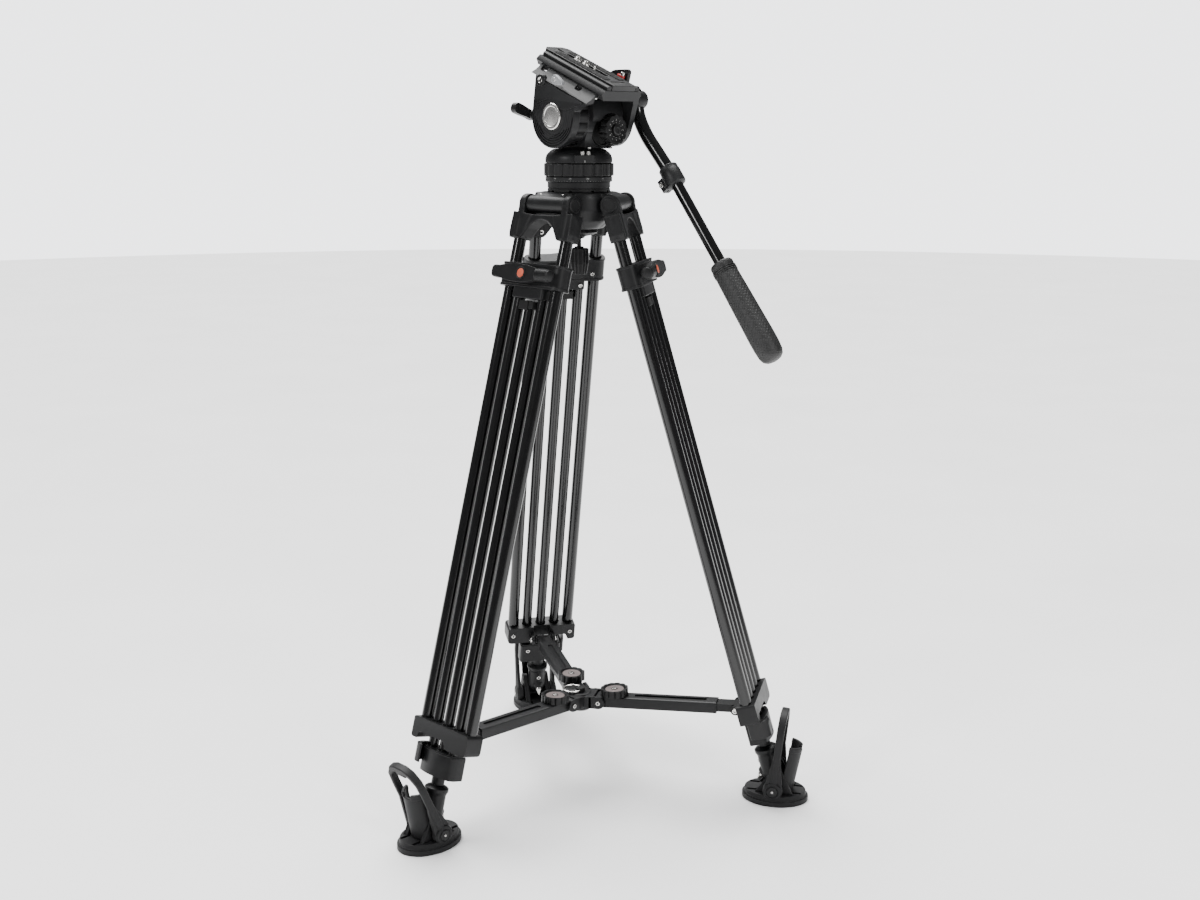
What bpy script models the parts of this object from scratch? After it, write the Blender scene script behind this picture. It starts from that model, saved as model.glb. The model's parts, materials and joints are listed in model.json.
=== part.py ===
"""Video tripod with a fluid head: a two-stage aluminium tripod, mid-level spreader and 75 mm bowl head.

Frame: +Z up, floor at z = 0, metres.  Leg B points along +X.  The tripod's own axis is the origin while the
parts are made; the root empty then moves everything so that the box around the part is centred on Z.
Leg frame: origin on the hinge, +X out from the leg, +Y across it, -Z down along it.
Tilt frame: origin on the tilt axis, +X towards the lens, +Y to the left, +Z out of the camera plate.
"""
import math

import bmesh
import bpy
from mathutils import Euler, Matrix, Vector

MM = 0.001
GAP = 0.3 * MM                     # between pieces that touch
CENTRE_SHIFT = (-66.28 * MM, 4.68 * MM, 0.0)   # from the box middle to the tripod axis

# ---------------------------------------------------------------- driving sizes
LEG_AZIMUTHS = {"a": 240.0, "b": 0.0, "c": 120.0}
LEG_LEAN = 16.0                    # degrees from vertical
HINGE_RADIUS = 51.1 * MM
HINGE_HEIGHT = 788.2 * MM
LEG_LENGTH = 799.0 * MM            # hinge to foot pivot
OUTER_TUBE = 8.0 * MM              # radii
INNER_TUBE = 7.0 * MM
OUTER_TUBE_Y = 42.0 * MM           # offsets from the leg's middle
INNER_TUBE_Y = 21.0 * MM
EAR_IN, EAR_OUT = 33.3 * MM, 44.0 * MM
BAND_S = (77.6 * MM, 107.6 * MM)   # distances down the leg
BLOCK_END_S = 121.0 * MM
BRACKET_S = (668.0 * MM, 695.0 * MM)
CLAMP_S = (700.0 * MM, 731.0 * MM)
GUIDE_S = (124.0 * MM, 135.0 * MM)
SLEEVE_S = (745.0 * MM, 786.0 * MM)
FLIP_SPAN = (-721.0 * MM, -697.0 * MM)
FLIP_PIVOT = (-3.0 * MM, -33.6 * MM)
LUG_S, LUG_X = 683.8 * MM, -23.0 * MM

HUB_Z = 116.0 * MM
HUB_PIN_R = 29.0 * MM
ARM_RISE = 2.6                     # degrees
ARM_LENGTH = 188.7 * MM            # hub pin to leg pin
CHANNEL = (-4.0 * MM, 162.0 * MM)
RING_RADIUS = 12.8 * MM

BOWL_RADIUS = 38.0 * MM
BALL_RADIUS = 37.5 * MM
BOWL_CENTRE_Z = 803.5 * MM
RIM_Z = 803.2 * MM
FLANGE_TOP = 815.1 * MM
SCALE_TOP = 822.4 * MM
PAN_RING_Z = (822.8 * MM, 838.6 * MM)
DOME_Z = (848.0 * MM, 856.5 * MM)

TILT_Z = 896.3 * MM
HEAD_AZIMUTH = 148.5               # where the lens points
NOSE_UP = 21.86
DISC_RADIUS = 39.0 * MM
DISC_Y = (33.8 * MM, 44.8 * MM)
RING_Y = (16.5 * MM, 33.4 * MM)
BODY_Y = (-36.8 * MM, 16.1 * MM)
EAR_Y = (-46.0 * MM, -37.2 * MM)
BODY_RADIUS = 35.0 * MM
DRAG_RADIUS = 36.8 * MM
SLAB_Z = (43.5 * MM, 56.8 * MM)
FLANK_FOOT = 36.5 * MM             # height of the platform's lower side edges
PLATE_Z = (57.1 * MM, 64.7 * MM)
PLATE_X = (-63.0 * MM, 73.0 * MM)
KNOB_AT = Vector((-40.0, -16.0, -16.5)) * MM     # level head frame
KNOB_RADIUS = 18.5 * MM
ROSETTE_AT = Vector((-37.0, 0.0, 37.0)) * MM     # tilt frame
HANDLE_Y = -57.0 * MM
HANDLE_TUBE = 8.5 * MM
COLLAR_AT = Vector((-62.5, 0.0, -95.0)) * MM     # from the handle's pivot, level frame
HANDLE_SLOPE = 128.6                             # turns +X to point down the pan bar
GRIP_X = (130.0 * MM, 271.0 * MM)                # along the bar, from the collar
LOCK_ANGLE = -19.2                               # tilt lock's place round the disc
PLATE_LOCK_AT = Vector((-50.0, -31.3, 51.0)) * MM
SAFETY_AT = Vector((-29.0, -24.3, 57.1)) * MM
SCREW_X = 26.6 * MM
BAIL_LEAN = {"a": 24.0, "b": 6.0, "c": 6.0}      # foot bails, degrees from vertical

# ---------------------------------------------------------------- materials: colour, roughness, metallic
FINISHES = {
    "casting": ((0.030, 0.031, 0.033), 0.55, 0.2),
    "tube": ((0.010, 0.010, 0.011), 0.22, 0.6),
    "head_shell": ((0.025, 0.026, 0.028), 0.50, 0.2),
    "knob": ((0.022, 0.022, 0.023), 0.60, 0.0),
    "lever": ((0.018, 0.018, 0.019), 0.45, 0.0),
    "release": ((0.42, 0.43, 0.45), 0.35, 0.6),
    "catch": ((0.55, 0.03, 0.03), 0.40, 0.0),
    "chrome": ((0.80, 0.79, 0.77), 0.12, 1.0),
    "rubber": ((0.028, 0.028, 0.030), 0.75, 0.0),
    "grip": ((0.015, 0.015, 0.015), 0.80, 0.0),
    "plate": ((0.020, 0.020, 0.021), 0.40, 0.3),
}

AXIS_TURN = {
    "X": Matrix(((0, 0, 1), (1, 0, 0), (0, 1, 0))).to_4x4(),   # outline (y, z), depth along x
    "Y": Matrix(((1, 0, 0), (0, 0, -1), (0, 1, 0))).to_4x4(),  # outline (x, z), depth along -y
    "Z": Matrix.Identity(4),                                   # outline (x, y), depth along z
}


# ---------------------------------------------------------------- scene
def clear_scene():
    for item in list(bpy.data.objects):
        bpy.data.objects.remove(item, do_unlink=True)


def new_collection(name, hidden=False):
    collection = bpy.data.collections.new(name)
    bpy.context.scene.collection.children.link(collection)
    collection.hide_render = hidden
    return collection


def empty(name, parent, location=(0, 0, 0), rotation=(0, 0, 0)):
    """An empty that carries a joint's axis; rotation is in degrees."""
    item = bpy.data.objects.new(name, None)
    item.empty_display_size = 0.02
    PARTS.objects.link(item)
    item.parent = parent
    item.location = location
    item.rotation_euler = Euler([math.radians(angle) for angle in rotation])
    return item


def material(finish):
    found = bpy.data.materials.get(finish)
    if found:
        return found
    colour, roughness, metallic = FINISHES[finish]
    made = bpy.data.materials.new(finish)
    made.use_nodes = True
    shader = made.node_tree.nodes["Principled BSDF"]
    shader.inputs["Base Color"].default_value = (*colour, 1.0)
    shader.inputs["Roughness"].default_value = roughness
    shader.inputs["Metallic"].default_value = metallic
    made.diffuse_color = (*colour, 1.0)
    return made


# ---------------------------------------------------------------- shapes, each a mesh object with no parent
def shape(mesh_maker):
    mesh = bpy.data.meshes.new("shape")
    work = bmesh.new()
    mesh_maker(work)
    work.to_mesh(mesh)
    work.free()
    item = bpy.data.objects.new("shape", mesh)
    CUTTERS.objects.link(item)
    item.hide_render = True
    item.display_type = "WIRE"
    return item


def box(low, high, turn=None):
    """A box between two corners."""
    low, high = Vector(low), Vector(high)
    size = high - low
    matrix = Matrix.Translation((low + high) / 2) @ Matrix.Diagonal((*size, 1.0))
    if turn is not None:
        matrix = turn @ matrix
    return shape(lambda work: bmesh.ops.create_cube(work, size=1.0, matrix=matrix))


def rod(axis, radius, low, high, at=(0, 0, 0), segments=16, end_radius=None, turn=None):
    """A cylinder or cone along axis, from low to high, whose middle line passes through at."""
    middle = Vector(at)
    middle["XYZ".index(axis)] = (low + high) / 2
    facing = AXIS_TURN[axis] if axis != "Y" else Matrix.Rotation(math.radians(-90), 4, "X")
    matrix = Matrix.Translation(middle) @ facing
    if turn is not None:
        matrix = turn @ matrix
    ends = (radius, radius if end_radius is None else end_radius)
    return shape(lambda work: bmesh.ops.create_cone(
        work, cap_ends=True, segments=segments, radius1=ends[0], radius2=ends[1],
        depth=high - low, matrix=matrix))


def turned(profile, segments=32):
    """A solid of revolution about Z from (radius, height) points that run down the outer side."""
    mesh = bpy.data.meshes.new("profile")
    edges = [(index, index + 1) for index in range(len(profile) - 1)]
    if profile[0][0] > 0 or profile[-1][0] > 0:
        edges.append((len(profile) - 1, 0))
    mesh.from_pydata([(radius, 0.0, height) for radius, height in profile], edges, [])
    item = bpy.data.objects.new("turned", mesh)
    CUTTERS.objects.link(item)
    screw = item.modifiers.new("Screw", "SCREW")
    screw.steps = segments
    screw.render_steps = segments
    screw.use_merge_vertices = True
    screw.merge_threshold = 0.00001
    bake(item)
    return item


def prism(axis, outline, low, high, turn=None):
    """A flat outline, made thick along axis from low to high."""
    curve = bpy.data.curves.new("outline", "CURVE")
    curve.dimensions = "2D"
    curve.fill_mode = "BOTH"
    curve.extrude = (high - low) / 2
    line = curve.splines.new("POLY")
    line.points.add(len(outline) - 1)
    for point, (across, along) in zip(line.points, outline):
        point.co = (across, along, 0.0, 1.0)
    line.use_cyclic_u = True
    sign = -1 if axis == "Y" else 1
    shift = Matrix.Translation((0, 0, sign * (low + high) / 2))
    return meshed(curve, (turn or Matrix.Identity(4)) @ AXIS_TURN[axis] @ shift)


def bent_tube(points, radius, resolution=3):
    curve = bpy.data.curves.new("bend", "CURVE")
    curve.dimensions = "3D"
    curve.bevel_depth = radius
    curve.bevel_resolution = resolution
    curve.use_fill_caps = True
    line = curve.splines.new("POLY")
    line.points.add(len(points) - 1)
    for point, place in zip(line.points, points):
        point.co = (*place, 1.0)
    return meshed(curve, Matrix.Identity(4))


def meshed(curve, matrix):
    """A mesh object in place of a curve, with its caps welded."""
    source = bpy.data.objects.new("curve", curve)
    CUTTERS.objects.link(source)
    graph = bpy.context.evaluated_depsgraph_get()
    mesh = bpy.data.meshes.new_from_object(source.evaluated_get(graph))
    bpy.data.objects.remove(source)
    work = bmesh.new()
    work.from_mesh(mesh)
    bmesh.ops.remove_doubles(work, verts=work.verts, dist=0.00001)
    bmesh.ops.recalc_face_normals(work, faces=work.faces)
    work.to_mesh(mesh)
    work.free()
    mesh.transform(matrix)
    item = bpy.data.objects.new("shape", mesh)
    CUTTERS.objects.link(item)
    item.hide_render = True
    item.display_type = "WIRE"
    return item


def bake(item):
    graph = bpy.context.evaluated_depsgraph_get()
    mesh = bpy.data.meshes.new_from_object(item.evaluated_get(graph))
    item.modifiers.clear()
    item.data = mesh


def combined(base, others, operation):
    for other in others:
        boolean = base.modifiers.new(operation.title(), "BOOLEAN")
        boolean.operation = operation
        boolean.solver = "EXACT"
        boolean.object = other
    bake(base)
    for other in others:
        bpy.data.objects.remove(other, do_unlink=True)
    return base


def fused(base, *others):
    return combined(base, others, "UNION")


def carved(base, *others):
    return combined(base, others, "DIFFERENCE")


def node(name, item, parent, finish):
    """Finish a shape as a named part under its joint's empty."""
    CUTTERS.objects.unlink(item)
    PARTS.objects.link(item)
    item.hide_render = False
    item.display_type = "TEXTURED"
    item.name = name
    item.data.name = name
    item.parent = parent
    item.data.materials.clear()
    item.data.materials.append(material(finish))
    item.data.shade_smooth()
    item.data.set_sharp_from_angle(angle=math.radians(30))
    return item


def arc(centre, radius, start, end, count):
    """Points along an arc; angles in degrees."""
    points = []
    for index in range(count):
        angle = math.radians(start + (end - start) * index / (count - 1))
        points.append((centre[0] + radius * math.cos(angle), centre[1] + radius * math.sin(angle)))
    return points


def lobed(radius, depth, lobes, per_lobe=4):
    """A knob's outline: rounded lobes with narrow grooves."""
    points = []
    for index in range(lobes * per_lobe):
        turn = 2 * math.pi * index / (lobes * per_lobe)
        swell = abs(math.cos(lobes * turn / 2)) ** 0.5
        points.append(((radius - depth * (1 - swell)) * math.cos(turn),
                       (radius - depth * (1 - swell)) * math.sin(turn)))
    return points


# ---------------------------------------------------------------- legs
def upper_frame():
    """The yoke: two hinge ears, an arched bridge and two sockets, with the two outer tubes."""
    arch = [(-OUTER_TUBE_Y, -15 * MM), (OUTER_TUBE_Y, -15 * MM), (OUTER_TUBE_Y, -42 * MM),
            (31 * MM, -42 * MM)]
    arch += arc((0, -50 * MM), 29 * MM, 35, 145, 7)
    arch += [(-31 * MM, -42 * MM), (-OUTER_TUBE_Y, -42 * MM)]
    base = prism("X", arch, -9 * MM, 9 * MM)
    pieces = []
    for side in (-1, 1):
        low, high = sorted((side * EAR_IN, side * EAR_OUT))
        cap = sorted((side * EAR_OUT - side * MM, side * 45.5 * MM))
        tube_at = (0, side * OUTER_TUBE_Y, 0)
        pieces += [
            rod("Y", 13 * MM, low, high, segments=20),
            rod("Y", 7.5 * MM, *cap),
            box((-8.5 * MM, low + 0.4 * MM, -32 * MM), (8.5 * MM, high - 0.4 * MM, 0)),
            rod("Z", 12 * MM, -45 * MM, -16 * MM, at=tube_at),
            rod("Z", OUTER_TUBE, -BRACKET_S[0] + GAP, -40 * MM, at=tube_at),
        ]
    return fused(base, *pieces)


def lower_bracket():
    """Holds the outer tubes' lower ends; the inner tubes pass through it; carries the spreader lugs."""
    top, bottom = -BRACKET_S[0], -BRACKET_S[1]
    roof = bottom + 9.5 * MM
    outline = [(-52 * MM, top), (52 * MM, top), (52 * MM, bottom), (15 * MM, bottom), (8 * MM, roof),
               (-38 * MM, roof), (-41 * MM, bottom), (-52 * MM, bottom)]
    base = prism("X", outline, -13 * MM, 13 * MM)
    lugs = []
    for side in (-1, 1):
        low, high = sorted((side * 13 * MM, side * 18 * MM))
        lugs.append(box((LUG_X, low, -LUG_S - 6 * MM), (-10 * MM, high, -LUG_S + 6 * MM)))
        lugs.append(rod("Y", 6.4 * MM, low - 0.4 * MM, high + 0.4 * MM, at=(LUG_X, 0, -LUG_S)))
    fused(base, *lugs)
    bores = [rod("Z", INNER_TUBE + 0.6 * MM, bottom - MM, top + MM, at=(0, y, 0))
             for y in (-INNER_TUBE_Y, 0, INNER_TUBE_Y)]
    pocket = box((-14 * MM, -12.4 * MM, bottom - MM), (-9 * MM, 12.4 * MM, top + MM))
    return carved(base, pocket, *bores)


def stage_band():
    """Slides on the outer tubes and carries the middle stage."""
    top, bottom = -BAND_S[0], -BAND_S[1]
    base = box((-13.5 * MM, -52.5 * MM, bottom), (13.5 * MM, 52.5 * MM, top))
    block = box((-10.5 * MM, -28 * MM, -BLOCK_END_S), (10.5 * MM, 28 * MM, bottom + 2 * MM))
    bores = [rod("Z", OUTER_TUBE + 0.6 * MM, bottom - MM, top + MM, at=(0, side * OUTER_TUBE_Y, 0))
             for side in (-1, 1)]
    return carved(fused(base, block), *bores)


def middle_frame():
    """The two inner tubes with the clamp box at their lower end."""
    top, bottom = -CLAMP_S[0], -CLAMP_S[1]
    base = box((-15 * MM, -30 * MM, bottom), (15 * MM, 30 * MM, top))
    tubes = [rod("Z", INNER_TUBE, top - 4 * MM, -BLOCK_END_S - GAP, at=(0, side * INNER_TUBE_Y, 0))
             for side in (-1, 1)]
    fused(base, *tubes)
    return carved(base, rod("Z", INNER_TUBE + 0.6 * MM, bottom - MM, top + MM))


def wing_lever():
    """Clamp lever on the band: a long leaf with a paddle tip, and a round barrel at the other end."""
    base = rod("X", 8 * MM, 13.5 * MM + GAP, 20 * MM)
    upper = [(-54, 5.5), (-46, 6.5), (-30, 9.5), (-7, 11), (16, 9.5), (32, 5.5)]
    outline = [(y * MM, z * MM) for y, z in upper] + [(y * MM, -z * MM) for y, z in reversed(upper)]
    leaf = prism("X", outline, 18 * MM, 27.5 * MM)
    barrel = rod("Y", 6 * MM, 28 * MM, 50.5 * MM, at=(23 * MM, 0, 0), segments=14)
    boss = rod("X", 8.5 * MM, 17 * MM, 28.8 * MM)
    return fused(base, leaf, barrel, boss)


def flip_lever():
    """Cam lever that wraps one corner of the clamp box, made about its pivot."""
    corners = [(-6, -36.4), (5, -38.8), (13, -37), (19.6, -30), (19.6, -22), (16, -22), (15.5, -30.8),
               (-3, -30.8)]
    outline = [(x * MM - FLIP_PIVOT[0], y * MM - FLIP_PIVOT[1]) for x, y in corners]
    base = prism("Z", outline, *FLIP_SPAN)
    return fused(base, rod("Z", 2.8 * MM, *FLIP_SPAN, segments=12))


def lower_tube():
    """Centre tube of the lower stage, with the small guide block at its top."""
    base = rod("Z", INNER_TUBE, -SLEEVE_S[0] + GAP, -GUIDE_S[0] - 2 * MM)
    guide = box((-9 * MM, -13 * MM, -GUIDE_S[1]), (9 * MM, 13 * MM, -GUIDE_S[0]))
    return fused(base, guide)


def foot_sleeve():
    """Sleeve on the tube's end, the foot's pivot boss and the small spike."""
    top, bottom, pivot = -SLEEVE_S[0], -SLEEVE_S[1], -LEG_LENGTH
    base = turned([(0, top), (12 * MM, top), (15.5 * MM, top - 2 * MM), (15.5 * MM, top - 6 * MM),
                   (14 * MM, top - 8 * MM), (14 * MM, bottom + 4 * MM), (11 * MM, bottom), (0, bottom)], 20)
    boss = rod("Y", 6.7 * MM, -11.5 * MM, 11.5 * MM, at=(0, 0, pivot))
    neck = box((-6 * MM, -8 * MM, pivot), (6 * MM, 8 * MM, bottom + 4 * MM))
    spike_turn = Matrix.Translation((0, 0, pivot)) @ Matrix.Rotation(math.radians(-95), 4, "Y")
    spike = rod("Z", 4 * MM, 5 * MM, 14 * MM, segments=10, end_radius=1 * MM,
                turn=spike_turn)
    return fused(base, boss, neck, spike)


def foot_pad():
    """Oval rubber pad with two hinge ears and the half-round trough that holds the leg."""
    sole = -(HINGE_HEIGHT - LEG_LENGTH * math.cos(math.radians(LEG_LEAN)))
    shapes = []
    for low, high, scale in ((sole, sole + 7.5 * MM, 1.0), (sole + 7 * MM, sole + 13 * MM, 0.93)):
        oval = rod("Z", 1.0, low, high, segments=28)
        oval.data.transform(Matrix.Diagonal((44.5 * MM * scale, 34 * MM * scale, 1.0, 1.0)))
        shapes.append(oval)
    top = sole + 12 * MM
    for side in (-1, 1):
        low, high = sorted((side * 12.5 * MM, side * 19 * MM))
        ear = [(-21 * MM, top), (21 * MM, top)] + arc((0, 0), 7.5 * MM, 35, 145, 5)
        shapes.append(prism("Y", ear, low, high))
        shapes.append(rod("Y", 8 * MM, low - 0.6 * MM, high + 0.6 * MM))
    lean = Matrix.Translation((8 * MM, 0, 0)) @ Matrix.Rotation(math.radians(12), 4, "Y")
    outline = arc((0, 0), 19 * MM, -78, 78, 9) + arc((0, 0), 16.2 * MM, 78, -78, 9)
    shapes.append(prism("Z", outline, top - 4 * MM, 59 * MM, turn=lean))
    return fused(*shapes)


def foot_bail():
    """U-shaped strap that swings on the foot pivot."""
    outline = [(-31 * MM, -4 * MM), (-24.5 * MM, -4 * MM), (-24.5 * MM, 86 * MM), (-18 * MM, 94 * MM),
               (18 * MM, 94 * MM), (24.5 * MM, 86 * MM), (24.5 * MM, -4 * MM), (31 * MM, -4 * MM),
               (31 * MM, 92 * MM), (20 * MM, 107 * MM), (-20 * MM, 107 * MM), (-31 * MM, 92 * MM)]
    base = prism("X", outline, -4.5 * MM, 4.5 * MM)
    ends = []
    for side in (-1, 1):
        low, high = sorted((side * 20.0 * MM, side * 30.5 * MM))
        ends.append(rod("Y", 6.5 * MM, low, high))
    return fused(base, *ends)


def build_leg(letter, azimuth):
    leg = "leg_" + letter
    turn = math.radians(azimuth)
    place = (HINGE_RADIUS * math.cos(turn), HINGE_RADIUS * math.sin(turn), HINGE_HEIGHT)
    hinge = empty(leg + "_hinge", ROOT, place, (0, -LEG_LEAN, azimuth))
    middle = empty(leg + "_middle_slide", hinge)
    lower = empty(leg + "_lower_slide", middle)
    node(leg + "_upper_frame", upper_frame(), hinge, "tube")
    node(leg + "_lower_bracket", lower_bracket(), hinge, "casting")
    node(leg + "_stage_band", stage_band(), middle, "casting")
    node(leg + "_middle_frame", middle_frame(), middle, "tube")
    wing_turn = 180.0 if letter == "b" else 0.0
    wing = empty(leg + "_wing_axis", middle, (0, 0, -(BAND_S[0] + BAND_S[1]) / 2), (wing_turn, 0, 0))
    node(leg + "_wing_lever", wing_lever(), wing, "lever")
    flip = empty(leg + "_flip_axis", middle, (*FLIP_PIVOT, 0))
    node(leg + "_flip_lever", flip_lever(), flip, "lever")
    node(leg + "_lower_tube", lower_tube(), lower, "tube")
    node(leg + "_foot_sleeve", foot_sleeve(), lower, "casting")
    pivot = empty(leg + "_foot_pivot", lower, (0, 0, -LEG_LENGTH), (0, LEG_LEAN, 0))
    node(leg + "_foot_pad", foot_pad(), pivot, "rubber")
    bail = empty(leg + "_bail_pivot", pivot, (0, 0, 0), (0, BAIL_LEAN[letter], 0))
    node(leg + "_foot_bail", foot_bail(), bail, "casting")


# ---------------------------------------------------------------- spreader
def spreader_hub():
    base = turned([(0, 9 * MM), (13 * MM, 9 * MM), (16 * MM, 6 * MM), (16 * MM, -12 * MM),
                   (12 * MM, -15 * MM), (0, -15 * MM)], 20)
    lugs = []
    for azimuth in LEG_AZIMUTHS.values():
        turn = Matrix.Rotation(math.radians(azimuth), 4, "Z")
        lugs.append(box((4 * MM, -17 * MM, -8 * MM), (20 * MM, 17 * MM, 8 * MM), turn))
        for side in (-1, 1):
            low, high = sorted((side * 12.5 * MM, side * 17 * MM))
            lugs.append(box((14 * MM, low, -8 * MM), (HUB_PIN_R, high, 8 * MM), turn))
            ends = (low + 0.2 * MM, high + 0.4 * MM) if side > 0 else (low - 0.4 * MM, high - 0.2 * MM)
            lugs.append(rod("Y", 8.5 * MM, *ends, at=(HUB_PIN_R, 0, 0), segments=14, turn=turn))
    lugs.append(rod("Z", 9.5 * MM, 5 * MM, 15 * MM, at=(-11 * MM, 0, 0)))
    return fused(base, *lugs)


def spreader_channel():
    """Arm channel with a bore along it for the bar and a long slot in its top."""
    start, end = CHANNEL
    base = box((start, -12 * MM, -7.5 * MM), (end, 12 * MM, 7.5 * MM))
    bore = box((12 * MM, -10.3 * MM, -5.8 * MM), (end + MM, 10.3 * MM, 5.8 * MM))
    slot = box((52 * MM, -3.5 * MM, 0), (150 * MM, 3.5 * MM, 9 * MM))
    return carved(base, bore, slot)


def spreader_bar():
    base = box((45 * MM, -9.9 * MM, -5.3 * MM), (ARM_LENGTH - 3 * MM, 9.9 * MM, 5.3 * MM))
    return fused(base, rod("Y", 5.5 * MM, -11.7 * MM, 11.7 * MM, at=(ARM_LENGTH, 0, 0)))


def spreader_knob():
    base = prism("Z", lobed(19 * MM, 2.2 * MM, 12), 7.5 * MM + GAP, 18.5 * MM)
    dish = [(0, 19 * MM), (14.5 * MM, 19 * MM), (12 * MM, 16.5 * MM), (0, 16.5 * MM)]
    return carved(base, turned(dish, 20))


def pull_ring():
    """Wire ring, made with its hinge side at the origin."""
    turns = [math.radians(angle) for angle in range(0, 360, 20)]
    bend = [(RING_RADIUS * (1 + math.cos(turn)), RING_RADIUS * math.sin(turn), 0) for turn in turns]
    curve = bpy.data.curves.new("ring", "CURVE")
    curve.dimensions = "3D"
    curve.bevel_depth = 1.6 * MM
    curve.bevel_resolution = 2
    line = curve.splines.new("POLY")
    line.points.add(len(bend) - 1)
    for point, place in zip(line.points, bend):
        point.co = (*place, 1.0)
    line.use_cyclic_u = True
    return meshed(curve, Matrix.Identity(4))


def build_spreader():
    hub = empty("spreader_hub_slide", ROOT, (0, 0, HUB_Z))
    node("spreader_hub", spreader_hub(), hub, "casting")
    ring = empty("pull_ring_hinge", hub, (-11 * MM - RING_RADIUS, 0, 11 * MM))
    node("spreader_pull_ring", pull_ring(), ring, "chrome")
    for letter, azimuth in LEG_AZIMUTHS.items():
        turn = math.radians(azimuth)
        place = (HUB_PIN_R * math.cos(turn), HUB_PIN_R * math.sin(turn), 0)
        arm = empty("arm_" + letter + "_pivot", hub, place, (0, -ARM_RISE, azimuth))
        node("arm_" + letter + "_channel", spreader_channel(), arm, "casting")
        node("arm_" + letter + "_bar", spreader_bar(), empty("arm_" + letter + "_slide", arm), "casting")
        knob = empty("arm_" + letter + "_knob_axis", arm, (20 * MM, 0, 0))
        node("arm_" + letter + "_lock_knob", spreader_knob(), knob, "knob")


# ---------------------------------------------------------------- spider, bowl and pan unit
def spider():
    """Crown with the 75 mm bowl and the three hinge barrels."""
    bowl = [(43 * MM, RIM_Z), (43 * MM, 790 * MM), (27 * MM, 757 * MM), (20 * MM, 757 * MM)]
    for step in range(6):
        radius = (20 + (BOWL_RADIUS / MM - 20) * step / 5) * MM
        bowl.append((radius, BOWL_CENTRE_Z - math.sqrt(max(BOWL_RADIUS ** 2 - radius ** 2, 0)) - GAP))
    base = turned(bowl, 36)
    pieces = []
    for azimuth in LEG_AZIMUTHS.values():
        turn = Matrix.Rotation(math.radians(azimuth), 4, "Z")
        across = turn @ Matrix.Translation((HINGE_RADIUS, 0, HINGE_HEIGHT))
        pieces.append(rod("Y", 11 * MM, -33 * MM, 33 * MM, turn=across))
        pieces.append(box((39 * MM, -27 * MM, 779 * MM), (48 * MM, 27 * MM, 799.5 * MM), turn))
        between = Matrix.Rotation(math.radians(azimuth + 60), 4, "Z")
        pieces.append(box((39.5 * MM, -11 * MM, 775 * MM), (51 * MM, 11 * MM, RIM_Z - MM), between))
    return fused(base, *pieces)


def bowl_clamp():
    """Tie-down rod, cup washer and clamp knob under the bowl."""
    profile = [(0, 776 * MM), (4 * MM, 776 * MM), (4 * MM, 756.7 * MM), (23 * MM, 756.7 * MM),
               (24 * MM, 750 * MM), (8 * MM, 747 * MM), (4 * MM, 745 * MM), (4 * MM, 733 * MM),
               (11 * MM, 732 * MM), (12.5 * MM, 728 * MM), (12.5 * MM, 702 * MM), (10 * MM, 698 * MM),
               (0, 698 * MM)]
    return turned(profile, 20)


def half_ball():
    """Levelling half ball with its flange and the pan scale ring."""
    bottom = 777.2 * MM
    profile = [(0, SCALE_TOP), (42.5 * MM, SCALE_TOP), (42.5 * MM, FLANGE_TOP), (40 * MM, FLANGE_TOP),
               (40 * MM, BOWL_CENTRE_Z), (BALL_RADIUS - 0.3 * MM, BOWL_CENTRE_Z)]
    for step in range(1, 6):
        height = BOWL_CENTRE_Z + (bottom - BOWL_CENTRE_Z) * step / 5
        profile.append((math.sqrt(BALL_RADIUS ** 2 - (BOWL_CENTRE_Z - height) ** 2) - 0.3 * MM, height))
    profile.append((0, bottom))
    return turned(profile, 36)


def pan_ring():
    base = prism("Z", lobed(44.5 * MM, 2.4 * MM, 19), *PAN_RING_Z)
    return carved(base, rod("Z", 34.6 * MM, PAN_RING_Z[0] - MM, PAN_RING_Z[1] + MM, segments=32))


def pan_housing():
    profile = [(0, DOME_Z[1]), (33 * MM, DOME_Z[1]), (34.5 * MM, DOME_Z[1] - 0.6 * MM), (42 * MM, DOME_Z[0]),
               (42.5 * MM, PAN_RING_Z[1] + GAP), (33.8 * MM, PAN_RING_Z[1] + GAP),
               (33.8 * MM, SCALE_TOP + GAP), (0, SCALE_TOP + GAP)]
    base = turned(profile, 36)
    level = Matrix.Rotation(math.radians(-68), 4, "Z")
    return fused(base, box((30 * MM, -12 * MM, PAN_RING_Z[1] + GAP), (43.8 * MM, 12 * MM, DOME_Z[0]), level))


def build_base():
    node("spider", spider(), ROOT, "casting")
    node("bowl_clamp_knob", bowl_clamp(), empty("bowl_clamp_axis", ROOT), "knob")
    node("half_ball", half_ball(), ROOT, "casting")
    node("pan_drag_ring", pan_ring(), empty("pan_drag_axis", ROOT), "knob")


# ---------------------------------------------------------------- head
def tilt_body():
    """The fluid drag body: a level drum on a pedestal, with a pocket behind for the balance knob."""
    base = rod("Y", BODY_RADIUS, *BODY_Y, segments=32)
    floor = DOME_Z[1] + GAP - TILT_Z
    pedestal = box((-24 * MM, BODY_Y[0] + 4 * MM, floor), (24 * MM, BODY_Y[1] - 2 * MM, -20 * MM))
    fused(base, pedestal)
    pocket = rod("X", 20 * MM, -60 * MM, -25 * MM, at=(0, KNOB_AT.y, KNOB_AT.z), segments=20)
    carved(base, pocket)
    return fused(base, rod("X", 6 * MM, KNOB_AT.x + GAP, -20 * MM, at=(0, KNOB_AT.y, KNOB_AT.z)))


def tilt_drag_ring():
    return prism("Y", lobed(DRAG_RADIUS, 3.0 * MM, 14), *RING_Y)


def balance_knob():
    base = prism("X", lobed(KNOB_RADIUS, 1.6 * MM, 12), -12 * MM, 0)
    return fused(base, rod("X", 6.5 * MM, -14 * MM, -11 * MM))


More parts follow.
